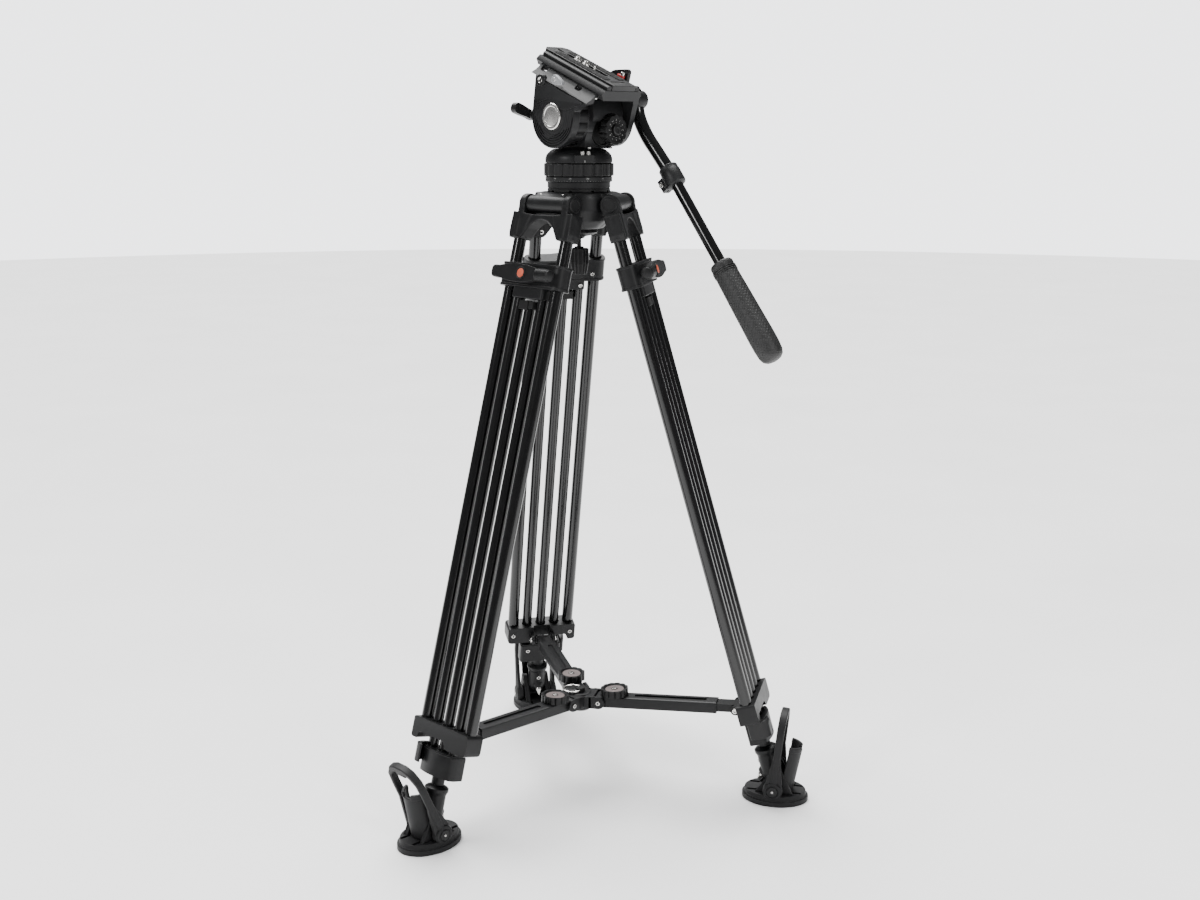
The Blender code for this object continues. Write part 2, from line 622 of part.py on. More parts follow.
def cradle():
    """Platform with the left arm and its disc, and the right ear that carries the handle rosette."""
    low, high = SLAB_Z
    half = [(33.4 * MM, low), (34 * MM, FLANK_FOOT), (46 * MM, FLANK_FOOT), (36.4 * MM, low + MM),
            (31.4 * MM, 53 * MM)]
    base = prism("X", half + [(-y, z) for y, z in reversed(half)], -52 * MM, 55 * MM)
    deck = [(-31 * MM, low + MM), (31 * MM, low + MM), (31 * MM, high), (-31 * MM, high)]
    fused(base, prism("X", deck, PLATE_X[0], 62 * MM))
    carved(base, box((-58 * MM, -37 * MM, low - 4 * MM), (-40 * MM, -30 * MM, high)))
    disc = rod("Y", DISC_RADIUS, *DISC_Y, segments=36)
    arm = [(38 * MM, -6 * MM), (43 * MM, 12 * MM), (50 * MM, 30 * MM), (54 * MM, 38 * MM),
           (-50 * MM, 38 * MM), (-44 * MM, 32 * MM), (-30 * MM, 24 * MM), (-30 * MM, 0), (0, -30 * MM)]
    left = prism("Y", arm, *DISC_Y)
    ear = [(30 * MM, -16 * MM), (34 * MM, 10 * MM), (40 * MM, 38 * MM), (-51 * MM, 38 * MM),
           (-48 * MM, 26 * MM), (-36 * MM, -8 * MM), (-20 * MM, -26 * MM), (14 * MM, -28 * MM)]
    right = prism("Y", ear, *EAR_Y)
    rosette = rod("Y", 11 * MM, EAR_Y[0] - 2.5 * MM, EAR_Y[0] + MM, at=ROSETTE_AT)
    side = [(-3, 52), (-6, 62), (-12, 66.5), (-32, 74.5), (-36, 73), (-38, 52)]
    catch_block = prism("Y", [(x * MM, z * MM) for x, z in side], -33.4 * MM, -28.4 * MM)
    return fused(base, disc, left, right, rosette, catch_block)


def medallion():
    return rod("Y", 16 * MM, DISC_Y[1] + GAP, DISC_Y[1] + 2 * MM, segments=28)


def tilt_lock():
    """Ratchet lever: a stem along +X and a handle that reaches out to the left."""
    stem = rod("X", 5.5 * MM, 0, 12 * MM, segments=12)
    reach = Matrix.Rotation(math.radians(20), 4, "X")
    return fused(stem, box((2 * MM, -4 * MM, -4.5 * MM), (11 * MM, 26 * MM, 4.5 * MM), reach))


def release_lever():
    """Teardrop plate-release lever, round at its pivot and tapered to the rear."""
    outline = arc((0, 0), 5.5 * MM, 90, -90, 7) + [(-14 * MM, -2.5 * MM), (-14 * MM, 2.5 * MM)]
    return prism("Y", outline, 0, 5 * MM)


def camera_plate():
    start, end = PLATE_X
    corner = 6 * MM
    outline = [(start, -20 * MM), (end - corner, -20 * MM), (end, -20 * MM + corner),
               (end, 20 * MM - corner), (end - corner, 20 * MM), (start, 20 * MM)]
    base = prism("Z", outline, *PLATE_Z)
    slot = box((-30 * MM, -3.4 * MM, PLATE_Z[0] - MM), (46 * MM, 3.4 * MM, PLATE_Z[1] + MM))
    return carved(base, slot)


def camera_screw():
    """Quarter-inch camera screw, standing in the plate's slot."""
    return rod("Z", 2.9 * MM, PLATE_Z[0] + GAP, PLATE_Z[1] + 5 * MM, segments=12)


def plate_lock():
    """Knob that clamps the plate, on a short stem."""
    knob = prism("Y", lobed(8.5 * MM, 1.0 * MM, 8), -5.6 * MM, -0.6 * MM)
    return fused(knob, rod("Y", 4 * MM, -2 * MM, 0, segments=12))


def safety_catch():
    base = box((-5 * MM, -2.7 * MM, 0), (5 * MM, 2.7 * MM, 8.9 * MM))
    return fused(base, rod("Z", 2.4 * MM, 8 * MM, 12.6 * MM, segments=10))


def handle_tube():
    """Curved upper pan-bar tube, with the rosette hub at its top and the clamp collar at its lower end."""
    path = [(0, 0), (0, -12), (-6, -28), (-18, -46), (-33, -62.5), (-49, -80), (-60, -92)]
    base = bent_tube([(x * MM, 0, z * MM) for x, z in path], HANDLE_TUBE)
    hub_end = EAR_Y[0] - 2.5 * MM - GAP - HANDLE_Y
    hub = rod("Y", 11 * MM, -9.5 * MM, hub_end)
    along = Matrix.Translation(COLLAR_AT) @ Matrix.Rotation(math.radians(HANDLE_SLOPE), 4, "Y")
    collar = rod("X", 12.5 * MM, -14 * MM, 12 * MM, turn=along)
    lug = box((-8 * MM, -6 * MM, 8 * MM), (8 * MM, 6 * MM, 21 * MM), along)
    return fused(base, hub, collar, lug)


def handle_lower():
    return rod("X", 7.5 * MM, 12 * MM + GAP, GRIP_X[0] - GAP, segments=16)


def handle_grip():
    start, end = GRIP_X
    grip = turned([(0, end), (9 * MM, end - 1 * MM), (15 * MM, end - 8 * MM), (16.5 * MM, end - 30 * MM),
                   (15.5 * MM, start + 40 * MM), (14.5 * MM, start + 8 * MM), (12 * MM, start),
                   (0, start)], 20)
    grip.data.transform(AXIS_TURN["X"])
    return grip


def build_head():
    pan = empty("pan_axis", ROOT)
    node("pan_housing", pan_housing(), pan, "head_shell")
    level = empty("head_level", pan, (0, 0, TILT_Z), (0, 0, HEAD_AZIMUTH))
    node("tilt_body", tilt_body(), level, "head_shell")
    node("tilt_drag_ring", tilt_drag_ring(), empty("tilt_drag_axis", level), "knob")
    node("balance_knob", balance_knob(), empty("balance_axis", level, KNOB_AT), "knob")

    tilt = empty("tilt_axis", level, (0, 0, 0), (0, -NOSE_UP, 0))
    node("cradle", cradle(), tilt, "head_shell")
    node("medallion_cap", medallion(), tilt, "chrome")
    aim = math.radians(LOCK_ANGLE)
    reach = DISC_RADIUS + 2 * GAP
    lock_at = (reach * math.cos(aim), 39 * MM, reach * math.sin(aim))
    node("tilt_lock_lever", tilt_lock(), empty("tilt_lock_axis", tilt, lock_at, (0, NOSE_UP, 0)), "lever")
    release_at = empty("release_axis", tilt, (6.5 * MM, 46 * MM + 2 * GAP, SLAB_Z[0] + 1.5 * MM))
    node("plate_release_lever", release_lever(), release_at, "release")
    plate = empty("plate_slide", tilt)
    node("camera_plate", camera_plate(), plate, "plate")
    node("camera_screw", camera_screw(), empty("camera_screw_axis", plate, (SCREW_X, 0, 0)), "chrome")
    node("plate_lock_knob", plate_lock(), empty("plate_lock_axis", tilt, PLATE_LOCK_AT), "knob")
    node("safety_catch", safety_catch(), empty("safety_axis", tilt, SAFETY_AT), "catch")

    handle_at = (ROSETTE_AT.x, HANDLE_Y, ROSETTE_AT.z)
    handle = empty("handle_pivot", tilt, handle_at, (0, NOSE_UP, 0))
    node("handle_upper_tube", handle_tube(), handle, "tube")
    straight = empty("handle_line", handle, COLLAR_AT, (0, HANDLE_SLOPE, 0))
    node("handle_lower_tube", handle_lower(), straight, "tube")
    node("handle_grip", handle_grip(), straight, "grip")


clear_scene()
PARTS = new_collection("tripod_with_fluid_head")
CUTTERS = new_collection("cutters", hidden=True)
ROOT = empty("tripod_axis", None, CENTRE_SHIFT)
build_base()
for leg_letter, leg_azimuth in LEG_AZIMUTHS.items():
    build_leg(leg_letter, leg_azimuth)
build_spreader()
build_head()
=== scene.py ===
"""Looks of the video tripod with a fluid head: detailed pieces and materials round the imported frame.

Each group is made in its own frame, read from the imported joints, in millimetres:
leg frame: origin on the hinge, X out, Y across, -Z down the leg; tilt and level frames: origin on the tilt
axis, X to the lens, Y to the left; foot frame: origin on the foot pivot, X out, Z up.
"""
import json
import math

import bmesh
import bpy
from mathutils import Matrix, Vector


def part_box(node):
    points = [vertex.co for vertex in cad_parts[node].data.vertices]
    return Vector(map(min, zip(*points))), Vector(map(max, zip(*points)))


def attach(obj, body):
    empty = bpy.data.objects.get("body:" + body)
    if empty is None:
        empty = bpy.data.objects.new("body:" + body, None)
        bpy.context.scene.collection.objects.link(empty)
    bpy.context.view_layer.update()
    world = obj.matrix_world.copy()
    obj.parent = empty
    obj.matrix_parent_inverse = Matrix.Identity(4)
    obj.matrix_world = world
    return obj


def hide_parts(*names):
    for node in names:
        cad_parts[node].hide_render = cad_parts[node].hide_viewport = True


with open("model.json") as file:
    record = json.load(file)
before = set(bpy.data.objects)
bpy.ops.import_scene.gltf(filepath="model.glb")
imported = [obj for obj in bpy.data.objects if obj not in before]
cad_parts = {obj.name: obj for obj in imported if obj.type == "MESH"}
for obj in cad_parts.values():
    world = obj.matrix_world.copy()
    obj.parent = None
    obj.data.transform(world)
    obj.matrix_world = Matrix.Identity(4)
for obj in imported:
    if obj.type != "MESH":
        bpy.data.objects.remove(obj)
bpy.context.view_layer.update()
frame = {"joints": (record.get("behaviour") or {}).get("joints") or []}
JOINTS = {joint["name"]: joint for joint in frame["joints"]}
MM = 0.001
LEGS = ("a", "b", "c")
UP = Vector((0, 0, 1))

# Camera, relative to the pan axis at floor level, in metres.
CAMERA_AT = Vector((0.4878, -1.8273, 0.8844))
CAMERA_AIM = Vector((0.0261, 0.0066, 0.4648))
CAMERA_LENS, CAMERA_SENSOR = 43.78, 36
# Studio: area lights aim at one point on the object; the world is brighter to the camera than as a light.
LIGHT_AIM = (-0.05, 0, 0.6)
AREA_LIGHTS = (("key", (-1.6, -2.1, 2.1), 0.5, 30), ("fill", (1.7, -1.5, 1.7), 0.5, 22))
AREA_LIGHT_ASPECT = 1.4
OVERHEAD_ENERGY, OVERHEAD_ANGLE, OVERHEAD_TURN = 8.0, 60, (-18, -14)
WORLD_AS_LIGHT, WORLD_TO_CAMERA = 0.22, 3.4
FLOOR_RADIUS, FLOOR_DEPTH = 9000, 20


# ---------------------------------------------------------------- frames
def axis(name):
    return Vector(JOINTS[name]["axis"]).normalized()


def place(name):
    return Vector(JOINTS[name]["pos_m"])


def make_frame(origin, x_axis, z_axis):
    """A frame in millimetres from its origin and two axes, in metres and world directions."""
    y_axis = z_axis.cross(x_axis).normalized()
    x_axis = y_axis.cross(z_axis).normalized()
    turn = Matrix((x_axis, y_axis, z_axis)).transposed().to_4x4()
    return Matrix.Translation(origin) @ turn @ Matrix.Scale(MM, 4)


def leg_frame(letter):
    up_leg = -axis("leg_%s_middle_slide" % letter)
    return make_frame(place("leg_%s_fold" % letter), axis("leg_%s_fold" % letter).cross(up_leg), up_leg)


def foot_frame(letter):
    across = axis("leg_%s_fold" % letter)
    return make_frame(place("leg_%s_foot_tilt" % letter), across.cross(UP), UP)


def arm_frame(letter):
    along = axis("bar_%s_slide" % letter)
    across = axis("arm_%s_pivot" % letter)
    return make_frame(place("arm_%s_pivot" % letter), along, along.cross(across))


PAN = place("pan")
PAN_FRAME = make_frame(Vector((PAN.x, PAN.y, 0)), Vector((1, 0, 0)), UP)
LEFT = axis("tilt")
LEVEL_FRAME = make_frame(place("tilt"), LEFT.cross(UP), UP)
TILT_FRAME = make_frame(place("tilt"), axis("plate_slide"), axis("plate_slide").cross(LEFT))
HANDLE_FRAME = make_frame(place("handle_angle"), LEFT.cross(UP), UP)
HUB_FRAME = make_frame(Vector((PAN.x, PAN.y, place("arm_a_pivot").z)), Vector((1, 0, 0)), UP)


# ---------------------------------------------------------------- mesh making
AXIS_TURN = {
        "X": Matrix(((0, 0, 1), (1, 0, 0), (0, 1, 0))).to_4x4(),   # outline (y, z), thick along x
        "Y": Matrix(((1, 0, 0), (0, 0, 1), (0, 1, 0))).to_4x4(),   # outline (x, z), thick along y
        "Z": Matrix.Identity(4),                                   # outline (x, y), thick along z
        }


def arc(centre, radius, start, end, count=8):
    """Points on an arc; angles in degrees."""
    steps = [math.radians(start + (end - start) * step / (count - 1)) for step in range(count)]
    return [(centre[0] + radius * math.cos(turn), centre[1] + radius * math.sin(turn)) for turn in steps]


def rounded(points, radius, count=5):
    """A closed outline with its corners rounded."""
    result = []
    total = len(points)
    for index, corner in enumerate(points):
        here = Vector(corner)
        back = Vector(points[index - 1]) - here
        ahead = Vector(points[(index + 1) % total]) - here
        size = radius[index] if isinstance(radius, (list, tuple)) else radius
        size = min(size, back.length * 0.48, ahead.length * 0.48)
        start, end = here + back.normalized() * size, here + ahead.normalized() * size
        for step in range(count):
            along = step / (count - 1)
            point = start * (1 - along) ** 2 + here * 2 * along * (1 - along) + end * along ** 2
            result.append((point.x, point.y))
    return result


def rectangle(half_x, half_y, radius, centre=(0, 0)):
    corners = [(-half_x, -half_y), (half_x, -half_y), (half_x, half_y), (-half_x, half_y)]
    return rounded([(x + centre[0], y + centre[1]) for x, y in corners], radius)


def lobes(radius, depth, count, per_lobe=12, power=0.45):
    """A knob outline: rounded lobes with narrow grooves between them."""
    points = []
    for step in range(count * per_lobe):
        turn = 2 * math.pi * step / (count * per_lobe)
        reach = radius - depth * (1 - abs(math.cos(count * turn / 2)) ** power)
        points.append((reach * math.cos(turn), reach * math.sin(turn)))
    return points


class Solid:
    """Closed shells gathered in one mesh, in millimetres of the group's frame."""

    def __init__(self):
        self.work = bmesh.new()

    def _add(self, verts, faces, turn):
        made = [self.work.verts.new(turn @ Vector(vert)) for vert in verts]
        for face in faces:
            self.work.faces.new([made[index] for index in face])

    def box(self, low, high, turn=Matrix.Identity(4)):
        corners = [(x, y, z) for z in (low[2], high[2]) for y in (low[1], high[1]) for x in (low[0],
                high[0])]
        self._add(corners, [(0, 2, 3, 1), (4, 5, 7, 6), (0, 1, 5, 4), (2, 6, 7, 3), (0, 4, 6, 2),
                (1, 3, 7, 5)], turn)
        return self

    def lathe(self, profile, way="Z", at=(0, 0, 0), segments=48, turn=Matrix.Identity(4)):
        """A turned solid from (radius, height) points; the profile closes on the axis or on itself."""
        matrix = turn @ Matrix.Translation(at) @ AXIS_TURN[way]
        rings = []
        verts = []
        for radius, height in profile:
            if radius <= 0:
                rings.append([len(verts)])
                verts.append((0, 0, height))
                continue
            rings.append(list(range(len(verts), len(verts) + segments)))
            for step in range(segments):
                angle = 2 * math.pi * step / segments
                verts.append((radius * math.cos(angle), radius * math.sin(angle), height))
        closed = profile[0][0] > 0 and profile[-1][0] > 0
        pairs = list(zip(rings, rings[1:])) + ([(rings[-1], rings[0])] if closed else [])
        faces = []
        for upper, lower in pairs:
            for step in range(segments):
                after = (step + 1) % segments
                if len(upper) == 1:
                    faces.append((upper[0], lower[step], lower[after]))
                elif len(lower) == 1:
                    faces.append((upper[step], lower[0], upper[after]))
                else:
                    faces.append((upper[step], lower[step], lower[after], upper[after]))
        self._add(verts, faces, matrix)
        return self

    def rod(self, way, radius, low, high, at=(0, 0, 0), edge=0.4, segments=40, end_radius=None,
            turn=Matrix.Identity(4)):
        last = radius if end_radius is None else end_radius
        profile = [(0, low), (radius - edge, low), (radius, low + edge), (last, high - edge),
                (last - edge, high), (0, high)]
        return self.lathe(profile, way, at, segments, turn)

    def prism(self, way, outline, low, high, at=(0, 0, 0), turn=Matrix.Identity(4), shrink=1.0):
        """An outline made thick along an axis."""
        matrix = turn @ Matrix.Translation(at) @ AXIS_TURN[way]
        count = len(outline)
        verts = [(x, y, low) for x, y in outline] + [(x * shrink, y * shrink, high) for x, y in outline]
        faces = [tuple(reversed(range(count))), tuple(range(count, 2 * count))]
        faces += [(step, (step + 1) % count, count + (step + 1) % count, count + step)
                for step in range(count)]
        self._add(verts, faces, matrix)
        return self

    def sweep(self, points, radius, segments=24, closed=False, flat=1.0):
        """A round tube along points, with flat ends."""
        path = [Vector(point) for point in points]
        total = len(path)
        rings = []
        side = None
        for index, here in enumerate(path):
            before = path[(index - 1) % total] if closed or index else here
            after = path[(index + 1) % total] if closed or index < total - 1 else here
            ahead = (after - before).normalized()
            if side is None:
                side = ahead.orthogonal().normalized()
            side = (side - ahead * side.dot(ahead)).normalized()
            other = ahead.cross(side)
            size = radius(index / (total - 1)) if callable(radius) else radius
            rings.append([self.work.verts.new(here + side * size * math.cos(2 * math.pi * step / segments)
                    + other * size * flat * math.sin(2 * math.pi * step / segments))
                    for step in range(segments)])
        pairs = list(zip(rings, rings[1:])) + ([(rings[-1], rings[0])] if closed else [])
        for first, second in pairs:
            for step in range(segments):
                after = (step + 1) % segments
                self.work.faces.new((first[step], first[after], second[after], second[step]))
        if not closed:
            self.work.faces.new(list(reversed(rings[0])))
            self.work.faces.new(rings[-1])
        return self

    def object(self, name, matrix):
        bmesh.ops.recalc_face_normals(self.work, faces=self.work.faces)
        self.work.transform(matrix)
        mesh = bpy.data.meshes.new(name)
        self.work.to_mesh(mesh)
        self.work.free()
        item = bpy.data.objects.new(name, mesh)
        bpy.context.scene.collection.objects.link(item)
        return item


def spline(points, count=12):
    """A smooth curve through points (Catmull-Rom)."""
    nodes = [Vector(point) for point in points]
    nodes = [2 * nodes[0] - nodes[1]] + nodes + [2 * nodes[-1] - nodes[-2]]
    result = []
    for index in range(1, len(nodes) - 2):
        a, b, c, d = nodes[index - 1:index + 3]
        for step in range(count):
            t = step / count
            result.append(0.5 * (2 * b + (c - a) * t + (2 * a - 5 * b + 4 * c - d) * t ** 2
                    + (3 * b - a - 3 * c + d) * t ** 3))
    return result + [nodes[-2]]


def apply_modifiers(item):
    graph = bpy.context.evaluated_depsgraph_get()
    mesh = bpy.data.meshes.new_from_object(item.evaluated_get(graph))
    item.modifiers.clear()
    old = item.data
    item.data = mesh
    bpy.data.meshes.remove(old)


def join_or_cut(item, tool, matrix, operation):
    other = tool.object("tool", matrix)
    boolean = item.modifiers.new("tool", "BOOLEAN")
    boolean.object = other
    boolean.operation = operation
    boolean.solver = "EXACT"
    if operation == "DIFFERENCE":
        boolean.use_self = True
    apply_modifiers(item)
    bpy.data.objects.remove(other, do_unlink=True)


def piece(name, solid, matrix, body, finish, stands_for=(), bevel=0.5, cut=None, cast=0.0, segments=2):
    """One finished visible piece; cast is a voxel size that melts the shells into one casting."""
    item = solid.object(name, matrix)
    if cast:
        remesh = item.modifiers.new("Cast", "REMESH")
        remesh.mode = "VOXEL"
        remesh.voxel_size = cast * MM
        apply_modifiers(item)
    if cut is not None:
        join_or_cut(item, cut, matrix, "DIFFERENCE")
    if cast:
        soft = item.modifiers.new("Soften", "SMOOTH")
        soft.factor = 0.5
        soft.iterations = 6
        apply_modifiers(item)
        item.data.shade_smooth()
    elif bevel:
        edge = item.modifiers.new("Edges", "BEVEL")
        edge.width = bevel * MM
        edge.segments = segments
        edge.limit_method = "ANGLE"
        edge.angle_limit = math.radians(38)
        edge.harden_normals = True
        edge.use_clamp_overlap = True
        item.data.shade_smooth()
    else:
        item.data.shade_smooth()
        item.data.set_sharp_from_angle(angle=math.radians(35))
    item.data.materials.clear()
    item.data.materials.append(MATERIALS[finish][0])
    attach(item, body)
    if stands_for:
        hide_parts(*stands_for)
    return item


# ---------------------------------------------------------------- materials
def shader_nodes(name):
    made = bpy.data.materials.new(name)
    made.use_nodes = True
    nodes, links = made.node_tree.nodes, made.node_tree.links
    return made, nodes, links, nodes["Principled BSDF"]


def surface(name, colour, roughness, metallic=0.0, tint=0.12, rough_span=0.08, grain=1500.0, bump=0.10,
        grain_depth=0.05, coat=0.0, coat_roughness=0.1, specular=0.5, wear=0.0, mottle=60.0):
    """A finish with a fine grain, slow tint and roughness changes, and rubbed edges."""
    made, nodes, links, shader = shader_nodes(name)
    shader.inputs["Metallic"].default_value = metallic
    shader.inputs["Coat Weight"].default_value = coat
    shader.inputs["Coat Roughness"].default_value = coat_roughness
    shader.inputs["Specular IOR Level"].default_value = specular
    where = nodes.new("ShaderNodeTexCoord")
    slow = nodes.new("ShaderNodeTexNoise")
    slow.inputs["Scale"].default_value = mottle
    slow.inputs["Detail"].default_value = 4.0
    fine = nodes.new("ShaderNodeTexNoise")
    fine.inputs["Scale"].default_value = grain
    fine.inputs["Detail"].default_value = 2.0
    links.new(where.outputs["Object"], slow.inputs["Vector"])
    links.new(where.outputs["Object"], fine.inputs["Vector"])
    ramp = nodes.new("ShaderNodeValToRGB")
    ramp.color_ramp.elements[0].position = 0.3
    ramp.color_ramp.elements[1].position = 0.7
    ramp.color_ramp.elements[0].color = (*[channel * (1 - tint) for channel in colour], 1)
    ramp.color_ramp.elements[1].color = (*[min(1, channel * (1 + tint)) for channel in colour], 1)
    links.new(slow.outputs["Fac"], ramp.inputs["Fac"])
    base = ramp.outputs["Color"]
    if wear:
        shape = nodes.new("ShaderNodeNewGeometry")
        rubbed = nodes.new("ShaderNodeMapRange")
        rubbed.inputs["From Min"].default_value = 0.52
        rubbed.inputs["From Max"].default_value = 0.62
        rubbed.inputs["To Max"].default_value = wear
        links.new(shape.outputs["Pointiness"], rubbed.inputs["Value"])
        mixed = nodes.new("ShaderNodeMix")
        mixed.data_type = "RGBA"
        mixed.inputs["B"].default_value = (*[min(1, channel * 3 + 0.02) for channel in colour], 1)
        links.new(rubbed.outputs["Result"], mixed.inputs["Factor"])
        links.new(base, mixed.inputs["A"])
        base = mixed.outputs["Result"]
    links.new(base, shader.inputs["Base Color"])
    rough = nodes.new("ShaderNodeMapRange")
    rough.inputs["To Min"].default_value = max(0.02, roughness - rough_span)
    rough.inputs["To Max"].default_value = min(1.0, roughness + rough_span)
    links.new(slow.outputs["Fac"], rough.inputs["Value"])
    links.new(rough.outputs["Result"], shader.inputs["Roughness"])
    if bump:
        raised = nodes.new("ShaderNodeBump")
        raised.inputs["Strength"].default_value = bump
        raised.inputs["Distance"].default_value = grain_depth * MM
        links.new(fine.outputs["Fac"], raised.inputs["Height"])
        links.new(raised.outputs["Normal"], shader.inputs["Normal"])
    return made


MATERIALS = {
        "casting": (surface("casting_coat", (0.0055, 0.0056, 0.0060), 0.42, specular=0.25, grain=2200,
        bump=0.35,
        grain_depth=0.12, wear=0.25), "casting"),
        "head": (surface("head_coat", (0.0046, 0.0047, 0.0051), 0.40, specular=0.25, grain=2400, bump=0.30,
        grain_depth=0.10, wear=0.25), "head_shell"),
        "tube": (surface("tube_anodised", (0.0025, 0.0025, 0.0027), 0.16, 0.0, rough_span=0.03, bump=0.0,
        specular=0.5), "tube"),
        "knob": (surface("knob_plastic", (0.005, 0.005, 0.0053), 0.44, specular=0.25, grain=2600, bump=0.25,
        grain_depth=0.08, wear=0.2), "knob"),
        "lever": (surface("lever_plastic", (0.006, 0.006, 0.0063), 0.36, specular=0.3, grain=2000,
        bump=0.18, wear=0.2),
        "lever"),
        # dark finish: the own dark colour of the guide blocks and the wing's dot ring; on the dial well and
        # the hub boss it is painted shade for a recess
        "dark": (surface("dark_parts_and_painted_recess_shade", (0.003, 0.003, 0.003), 0.60, specular=0.3, bump=0.1), "knob"),
        "release": (surface("release_silver", (0.30, 0.305, 0.315), 0.34, 0.35, grain=1800, bump=0.12),
        "release"),
        "catch": (surface("catch_red", (0.42, 0.02, 0.02), 0.35, bump=0.05), "catch"),
        "dot": (surface("dot_orange", (0.50, 0.085, 0.04), 0.42, grain=1600, bump=0.15), "catch"),
        "chrome": (surface("chrome_polished", (0.74, 0.725, 0.70), 0.22, 1.0, tint=0.12, rough_span=0.10,
        grain=500, bump=0.015), "chrome"),
        "steel": (surface("screw_steel", (0.62, 0.61, 0.59), 0.24, 1.0, tint=0.08, grain=1400, bump=0.04),
        "chrome"),
        "rubber": (surface("pad_rubber", (0.0075, 0.0075, 0.008), 0.55, specular=0.25, grain=1300, bump=0.4,
        grain_depth=0.15, wear=0.15), "rubber"),
        "plate": (surface("plate_anodised", (0.006, 0.006, 0.0063), 0.34, specular=0.35, grain=1800,
        bump=0.12,
        wear=0.3), "plate"),
        "strip": (surface("plate_rubber", (0.005, 0.005, 0.005), 0.66, specular=0.3, grain=1500, bump=0.4),
        "rubber"),
        "label": (surface("label_ring", (0.16, 0.13, 0.125), 0.40, grain=1800, bump=0.08, tint=0.2),
        "knob"),
        "mark": (surface("dial_marks", (0.34, 0.34, 0.33), 0.55, bump=0.05), "knob"),
        }


def grip_material():
    """Black rubber with rows of small dimples."""
    made, nodes, links, shader = shader_nodes("grip_rubber")
    where = nodes.new("ShaderNodeTexCoord")
    cells = nodes.new("ShaderNodeTexVoronoi")
    cells.inputs["Scale"].default_value = 330.0
    cells.inputs["Randomness"].default_value = 0.15
    noise = nodes.new("ShaderNodeTexNoise")
    noise.inputs["Scale"].default_value = 90.0
    links.new(where.outputs["Object"], cells.inputs["Vector"])
    links.new(where.outputs["Object"], noise.inputs["Vector"])
    height = nodes.new("ShaderNodeMapRange")
    height.inputs["From Min"].default_value = 0.15
    height.inputs["From Max"].default_value = 0.5
    links.new(cells.outputs["Distance"], height.inputs["Value"])
    raised = nodes.new("ShaderNodeBump")
    raised.inputs["Strength"].default_value = 0.55
    raised.inputs["Distance"].default_value = 0.5 * MM
    links.new(height.outputs["Result"], raised.inputs["Height"])
    links.new(raised.outputs["Normal"], shader.inputs["Normal"])
    ramp = nodes.new("ShaderNodeValToRGB")
    ramp.color_ramp.elements[0].color = (0.004, 0.004, 0.004, 1)
    ramp.color_ramp.elements[1].color = (0.011, 0.011, 0.011, 1)
    links.new(noise.outputs["Fac"], ramp.inputs["Fac"])
    links.new(ramp.outputs["Color"], shader.inputs["Base Color"])
    rough = nodes.new("ShaderNodeMapRange")
    rough.inputs["To Min"].default_value = 0.42
    rough.inputs["To Max"].default_value = 0.62
    links.new(noise.outputs["Fac"], rough.inputs["Value"])
    links.new(rough.outputs["Result"], shader.inputs["Roughness"])
    return made


MATERIALS["grip"] = (grip_material(), "grip")


# ---------------------------------------------------------------- small shared shapes
def spin(angle, way="Z", at=(0, 0, 0)):
    """A turn in degrees about an axis through a point."""
    return Matrix.Translation(at) @ Matrix.Rotation(math.radians(angle), 4, way)


def add_text(solid, text, size, turn, thick=0.12):
    """Raised characters, centred, facing +Z of the turn matrix."""
    curve = bpy.data.curves.new("text", "FONT")
    curve.body = text
    curve.size = size
    curve.align_x = "CENTER"
    curve.align_y = "CENTER"
    curve.extrude = thick
    source = bpy.data.objects.new("text", curve)
    bpy.context.scene.collection.objects.link(source)
    graph = bpy.context.evaluated_depsgraph_get()
    mesh = bpy.data.meshes.new_from_object(source.evaluated_get(graph))
    mesh.transform(turn)
    solid.work.from_mesh(mesh)
    bpy.data.objects.remove(source, do_unlink=True)
    bpy.data.meshes.remove(mesh)


def screw_head(solid, way, radius, base, tall, at=(0, 0, 0), turn=Matrix.Identity(4), socket=0.5):
    """A socket screw head with a hexagon recess; tall may be negative to face the other way."""
    edge = 0.35 if tall > 0 else -0.35
    top = base + tall
    deep = top - (1.6 if tall > 0 else -1.6)
    solid.lathe([(0, base), (radius, base), (radius, top - edge), (radius - 0.35, top),
            (radius * socket, top), (radius * socket, deep), (0, deep)], way, at, 24, turn)


def boat(half_length, half_height, tip, power=2.0, count=15):
    """A long leaf outline with blunt rounded ends."""
    upper = []
    for step in range(count):
        along = -1 + 2 * step / (count - 1)
        upper.append((along * half_length, tip + (half_height - tip) * (1 - abs(along) ** power)))
    ends = [(half_length + tip * 0.6, tip * 0.55), (half_length + tip * 0.8, 0),
            (half_length + tip * 0.6, -tip * 0.55)]
    lower = [(x, -z) for x, z in reversed(upper)]
    return upper + ends + lower + [(-x, -z) for x, z in ends]


